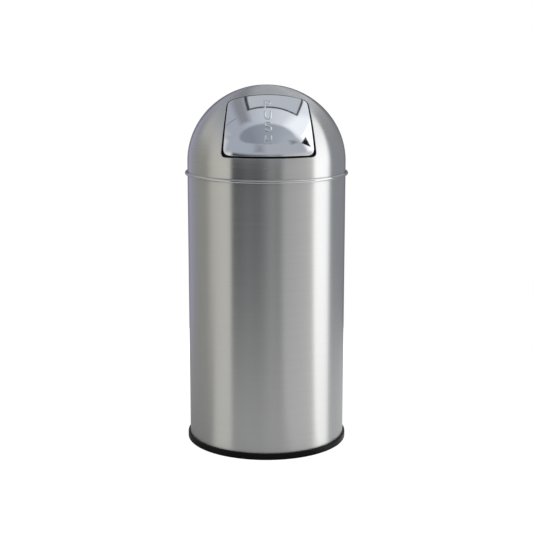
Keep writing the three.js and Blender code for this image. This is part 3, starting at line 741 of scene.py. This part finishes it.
def base_ring():
    lip_outside = BODY_INSIDE - 2 * FIT - PAN_SHEET - FIT
    lip_inside = lip_outside - RING_LIP_WIDTH
    return soften([
        [lip_inside, 0, SMALL_EDGE],
        [RING_OUTSIDE, 0, RING_ROUNDING],
        [RING_OUTSIDE, RING_TOP, RING_ROUNDING],
        [BODY_RADIUS + FIT, RING_TOP, SMALL_EDGE],
        [BODY_RADIUS + FIT, RING_FLOOR, SMALL_EDGE],
        [lip_outside, RING_FLOOR, SMALL_EDGE],
        [lip_outside, RING_LIP_HEIGHT, SMALL_EDGE],
        [lip_inside, RING_LIP_HEIGHT, SMALL_EDGE],
    ])


placed(lathe("base_ring_moulding", base_ring()), "bin_body", "black_plastic", BLACK, "base_ring")


# Where a plate's dished middle starts to rise and stops, as shares of its radius
DISH_SHARES = (0.72, 0.76)
DISH_BEND = 4.0


def pressed_plate(node, sheet, bend, dish):
    """A pressed plate with a skirt and a shallow dished middle, inside its CAD solid's box."""
    low, high = cad(node)
    outside, top = high.x, high.z
    rise_start, rise_end = (outside * share for share in DISH_SHARES)
    return soften([
        [0, top - sheet - dish, 0],
        [rise_start, top - sheet - dish, DISH_BEND],
        [rise_end, top - sheet, DISH_BEND],
        [outside - sheet, top - sheet, max(bend - sheet, sheet / 4)],
        [outside - sheet, low.z, sheet / 4],
        [outside, low.z, sheet / 4],
        [outside, top, bend],
        [rise_end, top, DISH_BEND],
        [rise_start, top - dish, DISH_BEND],
        [0, top - dish, 0],
    ], closed=False)


pan = lathe("base_pan_pressing", pressed_plate("base_pan", PAN_SHEET, bend=2.5, dish=2.0))
placed(pan, "bin_body", "galvanised", GALVANISED, "base_pan")

# ---- Dome ----

LIP_ROUNDING = 0.8
LIP_DEPTH = 1.8
CLEAR_OF_EDGE = 2.5
TINY = 1e-9


def dome_flat(point):
    """Where a point of the dome lies on the flat plan that its skin is filled on."""
    distance = math.hypot(point.x, point.y)
    if point.z < DOME_START:
        reach = 1 + (DOME_START - point.z) / DOME_RISE
    else:
        reach = math.atan2(distance / BODY_RADIUS, (point.z - DOME_START) / DOME_RISE) / (math.pi / 2)
    return Vector((point.x, point.y)) * (reach / max(distance, TINY))


def dome_shell():
    """The spun dome with its skirt, and the door in it with a turned-in lip."""
    door = door_outline()
    flat_start = LIP_ROUNDING + CLEAR_OF_EDGE / 2
    lip = soften([
        [flat_start, 0, 0],
        [0, 0, LIP_ROUNDING],
        [0, -LIP_DEPTH, SHEET / 3],
        [SHEET, -LIP_DEPTH, SHEET / 3],
        [SHEET, -SHEET, SHEET / 2],
        [flat_start, -SHEET, 0],
    ], closed=False)
    edge = edge_rings(door, lip)
    levels, skirt_levels = 56, 4
    quarter = [math.pi / 2 * i / levels for i in range(1, levels + 1)]
    rows = [(BODY_RADIUS * math.sin(t), DOME_START + DOME_RISE * math.cos(t)) for t in quarter]
    skirt = (DOME_FOOT - DOME_START) / skirt_levels
    rows += [(BODY_RADIUS, DOME_START + skirt * i) for i in range(1, skirt_levels + 1)]
    skin = [Vector((0, 0, DOME_TOP))]
    for radius, height in rows:
        skin += [Vector((radius * c, radius * s, height)) for c, s in circle(BIG_TURN)]
    margin = [dome_flat(skin_point(*p)) for p in grown(door, flat_start + CLEAR_OF_EDGE)]
    flat = [dome_flat(p) for p in skin]
    kept = ~inside(margin, np.array([p.x for p in flat]), np.array([p.y for p in flat]))
    skin = [p for p, stays in zip(skin, kept) if stays]
    flat = [p for p, stays in zip(flat, kept) if stays]
    boundary = [dome_flat(edge[0][i]) for i in edge[2][0]]
    triangles = fill(boundary, flat, hole=True)
    ups = [(p, skin_normal(p)) for p in skin]
    return two_skins("dome_skin", edge, skin, ups, triangles, SHEET, open_rim=BIG_TURN)


placed(dome_shell(), "lid", "brushed_steel", SPUN, "dome_shell")


def lid_collar():
    low, high = cad("lid_collar")
    narrow = BODY_INSIDE - COLLAR_CLEARANCE
    jog = RIM_MIDDLE + COLLAR_JOG
    step = jog + (high.x - narrow) * COLLAR_JOG_SLOPE
    return soften([
        [narrow, low.z, SMALL_EDGE],
        [narrow, jog, COLLAR_BEND],
        [high.x, step, COLLAR_BEND],
        [high.x, high.z, SMALL_EDGE],
        [high.x - COLLAR_SHEET, high.z, SMALL_EDGE],
        [high.x - COLLAR_SHEET, step, COLLAR_BEND],
        [narrow - COLLAR_SHEET, jog, COLLAR_BEND],
        [narrow - COLLAR_SHEET, low.z, SMALL_EDGE],
    ])


placed(lathe("collar_ring", lid_collar()), "lid", "collar_steel", ROLLED, "lid_collar")

# ---- Hinge ----

X_AXIS = Vector((1, 0, 0))
pin_profile = rod(PIN_RADIUS, PIN_LOW.x, PIN_HIGH.x, ROUND_EDGE, ROUND_EDGE)
pin = lathe("hinge_pin_rod", pin_profile, SMALL_TURN, standing(Vector((0, PIN.y, PIN.z)), X_AXIS))
placed(pin, "lid", "plated_steel", PLATED, "hinge_pin")


def pin_clip(node):
    """A push-on clip: a flat ring across the pin."""
    low, high = cad(node)
    half = (high.x - low.x) / 2
    outside = (high.z - low.z) / 2
    hole = PIN_RADIUS + FIT / 2
    corners = [(hole, -half), (outside, -half), (outside, half), (hole, half)]
    profile = soften([[x, y, FINE_EDGE] for x, y in corners])
    return lathe(node + "_ring", profile, SMALL_TURN, standing((low + high) / 2, X_AXIS))


def spring_path(side):
    """A leg under the flap's frame, the coil round the pin, and a leg under the lid's bracket."""
    low, high = cad("left_hinge_spring")
    outer, inner = -low.x - SPRING_WIRE, -high.x + SPRING_WIRE
    mean = PIN_RADIUS + SPRING_SLACK + SPRING_WIRE
    under = SPRING_WIRE + RUNNING_FIT
    legs = (outer, -SPRING_FLAP_LEG, FRAME_DEPTH + FRAME_WALL, -1), (inner, SPRING_LID_LEG, BRACKET_BACK, 1)
    ends, angles = [], []
    for x, reach, depth, way in legs:
        end = Vector((reach, dome_height(x, PIN.y + reach, depth) - under - PIN.z))
        ends.append(Vector((x, *end)))
        angles.append(math.atan2(end.y, end.x) % math.tau + way * math.acos(mean / end.length))
    start, stop = angles[0], angles[1] - math.tau * SPRING_TURNS
    steps = SPRING_TURNS * SMALL_TURN
    path = [ends[0]]
    for i in range(steps + 1):
        angle = start + (stop - start) * i / steps
        x = outer + (inner - outer) * i / steps
        path.append(Vector((x, mean * math.cos(angle), mean * math.sin(angle))))
    path.append(ends[1])
    return [Vector((side * x, PIN.y + y, PIN.z + z)) for x, y, z in path]


for hand, side in SIDES:
    bracket = refined(f"{hand}_bracket_plate", f"{hand}_hinge_bracket", FINE_EDGE)
    placed(bracket, "lid", "galvanised", GALVANISED, f"{hand}_hinge_bracket")
    clip = pin_clip(f"{hand}_pin_clip")
    placed(clip, "lid", "plated_steel", PLATED, f"{hand}_pin_clip")
    path = spring_path(side)
    spring = tube(f"{hand}_spring_wire", path, SPRING_WIRE, 12)
    spring.data.materials.append(PLATED)
    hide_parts(f"{hand}_hinge_spring")
    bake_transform(spring)

# ---- Flap ----

LETTER_WIDTH = 14.0
LETTER_MIDDLE = -1.5
STROKE_FOOT = 1.955  # from a stroke's middle line to where its slope ends
EMBOSS = 0.75
# Top and bottom of each letter, by height on the bin
LETTER_SPANS = {"P": (738.6, 726.0), "U": (718.5, 704.2), "S": (698.5, 681.8), "H": (671.7, 658.6)}


def arc(x, y, half_width, half_height, start, end, steps=14):
    return [tuple(p) for p, _ in oval(x, y, half_width, half_height, start, end, steps)]


# Plain strokes of the word that tells the hand what to do, each letter in a cell 1 wide and 1 high
LETTERS = {
    "P": [
        [(0.1, 0.0), (0.1, 1.0), (0.6, 1.0)],
        arc(0.6, 0.73, 0.32, 0.27, 90, -90),
        [(0.6, 0.46), (0.1, 0.46)],
    ],
    "U": [
        [(0.08, 1.0), (0.08, 0.38)],
        arc(0.5, 0.38, 0.42, 0.38, 180, 360),
        [(0.92, 0.38), (0.92, 1.0)],
    ],
    "S": [
        arc(0.5, 0.75, 0.4, 0.25, 20, 270),
        arc(0.5, 0.25, 0.42, 0.25, 90, -160),
    ],
    "H": [
        [(0.08, 0.0), (0.08, 1.0)],
        [(0.92, 0.0), (0.92, 1.0)],
        [(0.08, 0.5), (0.92, 0.5)],
    ],
}


def along_at(height):
    """The place along the door's middle where the dome has that height."""
    low, high = 0.0, DOOR_LENGTH
    for _ in range(30):
        middle = (low + high) / 2
        low, high = (middle, high) if skin_point(0, middle).z < height else (low, middle)
    return low


def letter_segments():
    """All strokes as segments on the door's plane."""
    segments = []
    for letter, (top, bottom) in LETTER_SPANS.items():
        upper, lower = along_at(top), along_at(bottom)
        for stroke in LETTERS[letter]:
            path = []
            for x, y in stroke:
                across = LETTER_MIDDLE + (x - 0.5) * LETTER_WIDTH
                path.append((across, lower + y * (upper - lower)))
            segments += zip(path, path[1:])
    return segments


def relief(across, along, segments):
    """Height of the embossed letters over the skin at places on the door's plane."""
    nearest = np.full(len(across), np.inf)
    for (ax, ay), (bx, by) in segments:
        dx, dy = bx - ax, by - ay
        share = np.clip(((across - ax) * dx + (along - ay) * dy) / (dx * dx + dy * dy), 0, 1)
        nearest = np.minimum(nearest, np.hypot(across - ax - share * dx, along - ay - share * dy))
    fall = np.clip(1 - nearest / STROKE_FOOT, 0, 1)
    return EMBOSS * fall * fall * (3 - 2 * fall)


def panel_places(outline):
    """Places on the door's plane: a coarse grid, and a fine one where the letters are."""
    coarse, fine, margin = 4.0, 0.5, 3.0
    top, bottom = along_at(LETTER_SPANS["P"][0]) + margin, along_at(LETTER_SPANS["H"][1]) - margin
    reach = LETTER_WIDTH / 2 + margin - LETTER_MIDDLE
    places = []
    for x in np.arange(-DOOR_HALF_WIDTH, DOOR_HALF_WIDTH, coarse):
        for y in np.arange(coarse / 2, DOOR_LENGTH + coarse, coarse):
            if abs(x) > reach + fine or not bottom - fine < y < top + fine:
                places.append((x, y))
    for x in np.arange(-reach, reach + fine / 2, fine):
        for y in np.arange(bottom, top + fine / 2, fine):
            places.append((x, y))
    across, along = np.array(places).T
    kept = inside(outline, across, along)
    return across[kept], along[kept]


def flap_panel():
    """The chromed pressing, with its turned-in edge and an embossed word."""
    outline = door_outline(**FLAP_OUTLINE)
    profile = soften([
        [-CLEAR_OF_EDGE, 0, 0],
        [0, 0, PANEL_ROUNDING],
        [0, -PANEL_RETURN, FINE_EDGE],
        [-PANEL_SHEET, -PANEL_RETURN, FINE_EDGE],
        [-PANEL_SHEET, -PANEL_SHEET, FINE_EDGE],
        [-CLEAR_OF_EDGE, -PANEL_SHEET, 0],
    ], closed=False)
    edge = edge_rings(outline, flipped(profile))
    across, along = panel_places(grown(outline, -2 * CLEAR_OF_EDGE))
    triangles = fill(grown(outline, -CLEAR_OF_EDGE), [Vector(p) for p in zip(across, along)])
    segments = letter_segments()
    step = 0.05
    here = relief(across, along, segments)
    slopes_x = (relief(across + step, along, segments) - here) / step
    slopes_y = (relief(across, along + step, segments) - here) / step
    ups = [(p, skin_normal(p)) for p in (skin_point(x, y) for x, y in zip(across, along))]
    outer = [p + n * h for (p, n), h in zip(ups, here)]
    outer_normals = []
    for (_, up), dx, dy in zip(ups, slopes_x, slopes_y):
        side_x = (X_AXIS - up * up.x).normalized()
        side_y = up.cross(side_x)
        outer_normals.append((up - side_x * dx - side_y * dy).normalized())
    return two_skins("flap_pressing", edge, outer, ups, triangles, PANEL_SHEET, outer_normals)


placed(flap_panel(), "flap", "chrome", CHROME, "flap_panel")
frame_moulding = refined("flap_frame_moulding", "flap_frame", MOULDED_EDGE)
placed(frame_moulding, "flap", "black_plastic", BLACK, "flap_frame")


def panel_stud(across, along):
    """A stud on the panel's back that goes through a boss of the frame."""
    skin = skin_reach(across, along)
    return rod(STUD_RADIUS, skin - STUD_SEAT - STUD_TIP, skin - STUD_ROOT, BLUNT_EDGE, SHARP_EDGE)


def stud_nut(node):
    """A push-on nut: a ring with a cone below."""
    low, high = cad(node)
    outside = (high.x - low.x) / 2
    hole = STUD_RADIUS + FIT / 2
    return soften([
        [hole, -NUT_HALF_HEIGHT, CRISP_EDGE],
        [outside, -NUT_CONE_END, FINE_EDGE],
        [outside, NUT_HALF_HEIGHT, CRISP_EDGE],
        [hole, NUT_HALF_HEIGHT, CRISP_EDGE],
    ])


def stop_buffer():
    """A rubber button whose barbed stem is pushed through the frame's flange."""
    head, neck, barb = -(SHEET + 2 * FIT), -(FRAME_DEPTH - FIT), -(FRAME_DEPTH + FRAME_WALL + 2 * FIT)
    tail = barb - BUFFER_TAIL
    return soften([
        [0, tail, 0],
        [BUFFER_STEM, tail, SMALL_EDGE],
        [BUFFER_BARB, barb, SMALL_EDGE],
        [BUFFER_STEM, barb, CRISP_EDGE],
        [BUFFER_STEM, neck, CRISP_EDGE],
        [BUFFER_HEAD, neck, FINE_EDGE],
        [BUFFER_HEAD, head, ROUND_EDGE],
        [0, head, 0],
    ], closed=False)


for hand, side in SIDES:
    for level, (inset, along) in zip(("lower", "upper"), STUD_PLACES):
        across = side * (door_half(along) - inset)
        stand = standing(door_point(across, along, 0), DOOR_OUT)
        stud = lathe(f"{hand}_{level}_panel_stud", panel_stud(across, along), SMALL_TURN, stand)
        placed(stud, "flap", "chrome", CHROME)
        node = f"{hand}_{level}_stud_nut"
        nut = lathe(f"{node}_ring", stud_nut(node), SMALL_TURN, standing(middle_of(node), DOOR_OUT))
        placed(nut, "flap", "plated_steel", PLATED, node)
    spot = skin_point(side * (door_half(BUFFER_ALONG) + BUFFER_OUTSIDE), BUFFER_ALONG)
    stop = lathe(f"{hand}_rubber_stop", stop_buffer(), SMALL_TURN, standing(spot, skin_normal(spot)))
    placed(stop, "flap", "rubber", RUBBER, f"{hand}_stop_buffer")

# ---- Liner ----

liner_wall = curled_wall(
    LINER_INSIDE, LINER_INSIDE + LINER_SHEET, LINER_FOOT, LINER_RIM_TOP - LINER_RIM_HALF,
    LINER_RIM_HALF, LINER_RIM_HALF, LINER_SHEET, 24,
)
placed(lathe("liner_bucket_wall", liner_wall), "liner", "galvanised", GALVANISED, "liner_wall")
liner_base = lathe("liner_bucket_base", pressed_plate("liner_base", LINER_SHEET, bend=2.0, dish=1.5))
placed(liner_base, "liner", "galvanised", GALVANISED, "liner_base")

def lug_rivet(node):
    """A rivet with a domed head on both ends."""
    low, high = cad(node)
    tip, head_radius = (high.x - low.x) / 2, (high.z - low.z) / 2
    under = tip - RIVET_HEAD_HEIGHT
    half = [
        [0, -tip, 0],
        [head_radius * RIVET_CROWN_SHARE, -tip, RIVET_CROWN],
        [head_radius, -under, FINE_EDGE],
        [RIVET_SHANK, -under, SHARP_EDGE],
    ]
    return soften(half + [[x, -y, fillet] for x, y, fillet in reversed(half)], closed=False)


for hand, side in SIDES:
    lug = refined(f"{hand}_lug_plate", f"{hand}_bail_lug", MOULDED_EDGE)
    placed(lug, "liner", "galvanised", GALVANISED, f"{hand}_bail_lug")
    for level in ("lower", "upper"):
        node = f"{hand}_{level}_lug_rivet"
        rivet = lathe(f"{node}_head", lug_rivet(node), SMALL_TURN, standing(middle_of(node), X_AXIS))
        placed(rivet, "liner", "galvanised", GALVANISED, node)


def bail_path():
    """Half a hoop on the liner's rim whose ends bend in through the lugs."""
    hoop = cad("bail")[1].x - BAIL_WIRE
    steps, bend_steps = 96, 10
    first = Vector((hoop - BAIL_BEND, 0, PIVOT_HEIGHT))
    turn_start = math.asin(BAIL_BEND / hoop)
    arm = [Vector((BAIL_TIP, 0, PIVOT_HEIGHT))]
    meet = Vector((hoop * math.cos(turn_start), hoop * math.sin(turn_start), PIVOT_HEIGHT))
    arm += [first] + quadratic(first, Vector((hoop, 0, PIVOT_HEIGHT)), meet, bend_steps)
    arch = []
    for i in range(1, steps):
        angle = turn_start + (math.pi - 2 * turn_start) * i / steps
        arch.append(Vector((hoop * math.cos(angle), hoop * math.sin(angle), PIVOT_HEIGHT)))
    return arm + arch + [Vector((-p.x, p.y, p.z)) for p in reversed(arm)]


placed(tube("bail_wire", bail_path(), BAIL_WIRE), "bail_handle", "plated_steel", PLATED, "bail")
head_profile = rod(BAIL_WIRE + BAIL_HEAD_WIDTH, 0, BAIL_HEAD_THICKNESS, SMALL_EDGE, ROUND_EDGE)
for hand, side in SIDES:
    stand = standing(Vector((side * BAIL_TIP, 0, PIVOT_HEIGHT)), X_AXIS * -side)
    head = lathe(f"{hand}_bail_head", head_profile, SMALL_TURN, stand)
    placed(head, "bail_handle", "plated_steel", PLATED)

# ---- Floor, studio and camera ----

# The camera's place was fitted to the bin's outline in the photograph
IMAGE_HEIGHT = 550
FOCAL_PIXELS = 1251.7
CAMERA_DISTANCE = 2648.4
CAMERA_HEIGHT = 899.1
CAMERA_PITCH = math.radians(11.53)
CAMERA_AZIMUTH = math.radians(-1.9)
AXIS_OFFSET_PIXELS = 0.5  # the bin's axis lies that far left of the image's middle
SENSOR_HEIGHT = 36


def camera():
    data = bpy.data.cameras.new("camera")
    data.sensor_fit = "VERTICAL"
    data.sensor_height = SENSOR_HEIGHT
    data.lens = FOCAL_PIXELS / IMAGE_HEIGHT * SENSOR_HEIGHT
    made = linked("camera", data)
    sideways = AXIS_OFFSET_PIXELS * CAMERA_DISTANCE / FOCAL_PIXELS
    stand = Matrix.Rotation(CAMERA_AZIMUTH, 4, "Z")
    stand @= Matrix.Translation(Vector((sideways, -CAMERA_DISTANCE, CAMERA_HEIGHT)) * MM)
    made.matrix_world = stand @ Matrix.Rotation(math.pi / 2 - CAMERA_PITCH, 4, "X")
    bpy.context.scene.camera = made


camera()

WHITE = (1, 1, 1, 1)
FLOOR_RADIUS = 1.0
FLOOR_GREY = 0.38
FLOOR_SIDES = 96
SHADED = 0.82  # the share of white that the floor shows to the camera next to the bin
SHADE_NEAR, SHADE_FAR = 0.2, 0.4  # it rises to white between these distances from the bin's axis
PATCH_EDGE = 0.02


def grey(value):
    return (value, value, value)
# What the floor adds to its own paleness where the steel mirrors it, on the plane of the floor in metres:
# corners anticlockwise, brightness
FLOOR_PATCHES = [
    ([(-0.12, -0.12), (-1.0, -0.18), (-1.0, -0.84), (-0.09, -0.17)], (0.36, 0.36, 0.34)),
    ([(-0.09, -0.17), (-1.0, -0.84), (-0.6, -1.2), (0.4, -1.1), (0.06, -0.17)], grey(0.18)),
    ([(0.06, -0.17), (0.4, -1.1), (1.0, -0.8), (1.0, -0.39), (0.12, -0.14)], grey(0.32)),
    ([(0.12, -0.14), (1.0, -0.39), (1.0, 0.08), (0.14, -0.10)], grey(1.0)),
    ([(0.14, -0.10), (1.0, 0.08), (1.0, 1.0), (0.17, 1.0)], (0.28, 0.29, 0.30)),
]


def studio_floor():
    """A round pale floor that looks white to the camera and shows in the steel as its patches."""
    finish = Finish("pale floor", grey(FLOOR_GREY), Roughness=0.9, Specular_IOR_Level=0.1)
    x, y, _ = finish.split(finish.place)
    distance = finish.math("SQRT", finish.squares(x, y))
    shown = finish.spread(distance, SHADE_NEAR, SHADE_FAR, SHADED, 1.0)
    mirrored = (0, 0, 0, 1)
    for corners, color in FLOOR_PATCHES:
        mirrored = finish.card(mirrored, (x, y), corners, PATCH_EDGE, color)
    rays = finish.node("LightPath").outputs
    seen = finish.math("ADD", rays["Is Camera Ray"], rays["Is Transmission Ray"])
    finish.use("Emission Color", finish.mix(seen, mirrored, WHITE))
    strength = finish.math("MULTIPLY", seen, shown)
    finish.use("Emission Strength", finish.math("ADD", strength, rays["Is Glossy Ray"]))
    points = [Vector((c, s, 0)) * (FLOOR_RADIUS / MM) for c, s in circle(FLOOR_SIDES)]
    made = piece("floor", points, [list(range(FLOOR_SIDES))], smooth=False)
    made.data.materials.append(finish.material)


studio_floor()

# What stands round the bin, seen along the floor: (degrees from the camera's side towards +X, brightness)
SURROUNDINGS = [
    (-180, (0.16, 0.15, 0.20)),
    (-160, (0.22, 0.21, 0.30)),
    (-153, (0.42, 0.42, 0.52)),
    (-128, (0.36, 0.36, 0.40)),
    (-120, (0.34, 0.35, 0.32)),
    (-98, (0.36, 0.36, 0.33)),
    (-84, (0.68, 0.66, 0.60)),
    (-55, (0.78, 0.77, 0.72)),
    (-50, (0.02, 0.02, 0.017)),
    (-37, grey(0.05)),
    (-28, grey(0.09)),
    (-12, grey(0.065)),
    (-2, grey(0.14)),
    (3, grey(0.23)),
    (8, grey(0.27)),
    (15, grey(0.21)),
    (19, grey(0.22)),
    (27, grey(0.50)),
    (60, grey(0.62)),
    (70, grey(0.68)),
    (75, (1.62, 1.63, 1.65)),
    (99, (1.62, 1.63, 1.67)),
    (108, (0.36, 0.38, 0.41)),
    (150, (0.30, 0.31, 0.34)),
    (164, (0.18, 0.18, 0.19)),
    (180, (0.16, 0.16, 0.18)),
]

# Cards overhead, on a level plane one unit above the bin (x to the right, y away from the camera):
# corners anticlockwise, softness of the edge, brightness; a later card lies over an earlier one
WALLS = {
    "left": ([(-9, 9), (-9, -0.9), (-1.3, -0.3), (-1.3, 1.2)], 0.25, (0.66, 0.66, 0.64)),
    "left_back": ([(-9, 60), (-9, 9), (-1.3, 1.2), (-1.3, 60)], 0.25, (0.36, 0.36, 0.37)),
    "right": ([(0.45, -0.42), (9, -4), (9, 1), (0.9, 0.42), (0.6, 0.1)], 0.12, (1.05, 1.08, 1.12)),
}
CARDS = {
    "right_back": ([(0.98, 0.62), (9, 1.72), (9, 60), (0.98, 60)], 0.06, (0.38, 0.39, 0.41)),
    "bright_side": ([(0.95, 0.6), (1.2, -0.6), (9, -3.3), (9, 1.7)], 0.05, (1.4, 1.4, 1.42)),
    "low_left": ([(-9, 1), (-9, -4.5), (-1.55, -0.7), (-1.5, -0.35)], 0.10, (0.66, 0.67, 0.69)),
    "left_strip": ([(-0.62, -0.3), (-0.36, -0.3), (-0.34, 3), (-0.58, 3)], 0.07, (0.28, 0.29, 0.32)),
    "left_line": (
        [(-1.03, -0.014), (-0.65, -0.014), (-0.65, 0.014), (-1.03, 0.014)], 0.01, (0.22, 0.23, 0.25)
    ),
    "lamp_frame": ([(-0.355, 0.085), (0.63, 0.085), (0.63, 3), (-0.355, 3)], 0.012, (0.05, 0.055, 0.06)),
    "lamp": ([(-0.300, 0.14), (0.585, 0.14), (0.585, 3), (-0.300, 3)], 0.012, (0.54, 0.57, 0.61)),
    "dark_corner": ([(1.38, -0.48), (1.55, -0.98), (2.6, -0.87)], 0.03, (0.01, 0.01, 0.01)),
    "dark_spot": ([(0.85, -1.1), (1.15, -1.33), (1.35, -1.05), (1.1, -0.98)], 0.08, (0.26, 0.27, 0.31)),
    "low_screen": ([(-0.45, -1.5), (-0.85, -2.6), (-0.15, -2.7), (-0.2, -1.7)], 0.2, (0.30, 0.31, 0.34)),
}

# Colours that change to the right on that plane: where from, where to, first colour, last colour
CEILING = (-0.6, 0.7, (0.42, 0.45, 0.51), (0.86, 0.89, 0.94))
LOW_CEILING = (-0.9, 1.2, (0.43, 0.46, 0.52), (0.46, 0.48, 0.52))
ROUND_SCREEN = (-0.5, 0.8, (0.26, 0.29, 0.34), (0.46, 0.49, 0.54))
# The low ceiling turns into the other between these places, on the way from the camera
LOW_CEILING_END = (-0.9, -0.5)
SCREEN_MIDDLE = (0.03, -0.99)
SCREEN_HALF_AXES = (1.02, 0.55)
SCREEN_EDGE = (0.85, 1.15)  # the squared reach, in half axes, over which it fades
LEAST_RISE = 0.02  # of a direction, so that one along the floor meets the plane too
# What stands round the bin gives way to what hangs over it between these heights, in degrees
CEILING_START = (14, 18)
PLAIN = (*grey(0.85), 1)


def studio():
    """A pale room with lamps and dark screens in it that only the steel mirrors; the camera sees white."""
    world = bpy.data.worlds.new("studio")
    world.use_nodes = True
    bpy.context.scene.world = world
    nodes = Nodes(world.node_tree)
    way = nodes.node("TexCoord").outputs["Generated"]
    turned = nodes.node("Mapping", {"vector_type": "POINT"}, Vector=way)
    turned.inputs["Rotation"].default_value = (0, 0, -CAMERA_AZIMUTH)
    x, y, z = nodes.split(turned.outputs[0])
    azimuth = nodes.math("ARCTAN2", x, nodes.math("MULTIPLY", y, -1.0))
    ramp = nodes.node("ValToRGB", Fac=nodes.spread(azimuth, -math.pi, math.pi))
    stops = ramp.color_ramp.elements
    stops[0].color = (*SURROUNDINGS[0][1], 1)
    stops[1].color = (*SURROUNDINGS[-1][1], 1)
    for degrees, color in SURROUNDINGS[1:-1]:
        stops.new((degrees + 180) / 360).color = (*color, 1)
    height = nodes.math("MAXIMUM", z, LEAST_RISE)
    plane = [nodes.math("DIVIDE", value, height) for value in (x, y)]
    u, v = plane
    low_ceiling, ceiling = nodes.shade(u, *LOW_CEILING), nodes.shade(u, *CEILING)
    room = nodes.mix(nodes.spread(v, *LOW_CEILING_END), low_ceiling, ceiling)
    for corners, soft, color in WALLS.values():
        room = nodes.card(room, plane, corners, soft, color)
    reach = []
    for value, middle, half in zip(plane, SCREEN_MIDDLE, SCREEN_HALF_AXES):
        reach.append(nodes.math("DIVIDE", nodes.math("SUBTRACT", value, middle), half))
    off_screen = nodes.spread(nodes.squares(*reach), *SCREEN_EDGE)
    room = nodes.mix(off_screen, nodes.shade(u, *ROUND_SCREEN), room)
    for corners, soft, color in CARDS.values():
        room = nodes.card(room, plane, corners, soft, color)
    high = nodes.spread(z, *(math.sin(math.radians(degrees)) for degrees in CEILING_START))
    seen = nodes.mix(high, ramp.outputs[0], room)
    rays = nodes.node("LightPath").outputs
    color = nodes.mix(rays["Is Glossy Ray"], PLAIN, seen)
    color = nodes.mix(rays["Is Camera Ray"], color, WHITE)
    nodes.feed(world.node_tree.nodes["Background"].inputs["Color"], color)


studio()


def lamp(name, place, size, power):
    """A soft square lamp that faces the bin's middle and doesn't show in the steel."""
    light = bpy.data.lights.new(name, "AREA")
    light.size = size
    light.energy = power
    made = linked(name, light)
    made.location = place
    aim = Vector((0, 0, DOME_TOP * MM / 2)) - Vector(place)
    made.rotation_euler = aim.to_track_quat("-Z", "Y").to_euler()
    made.visible_glossy = False


lamp("overhead_lamp", place=(0.9, -1.1, 2.4), size=1.6, power=12)

bpy.context.scene.view_settings.view_transform = "Standard"
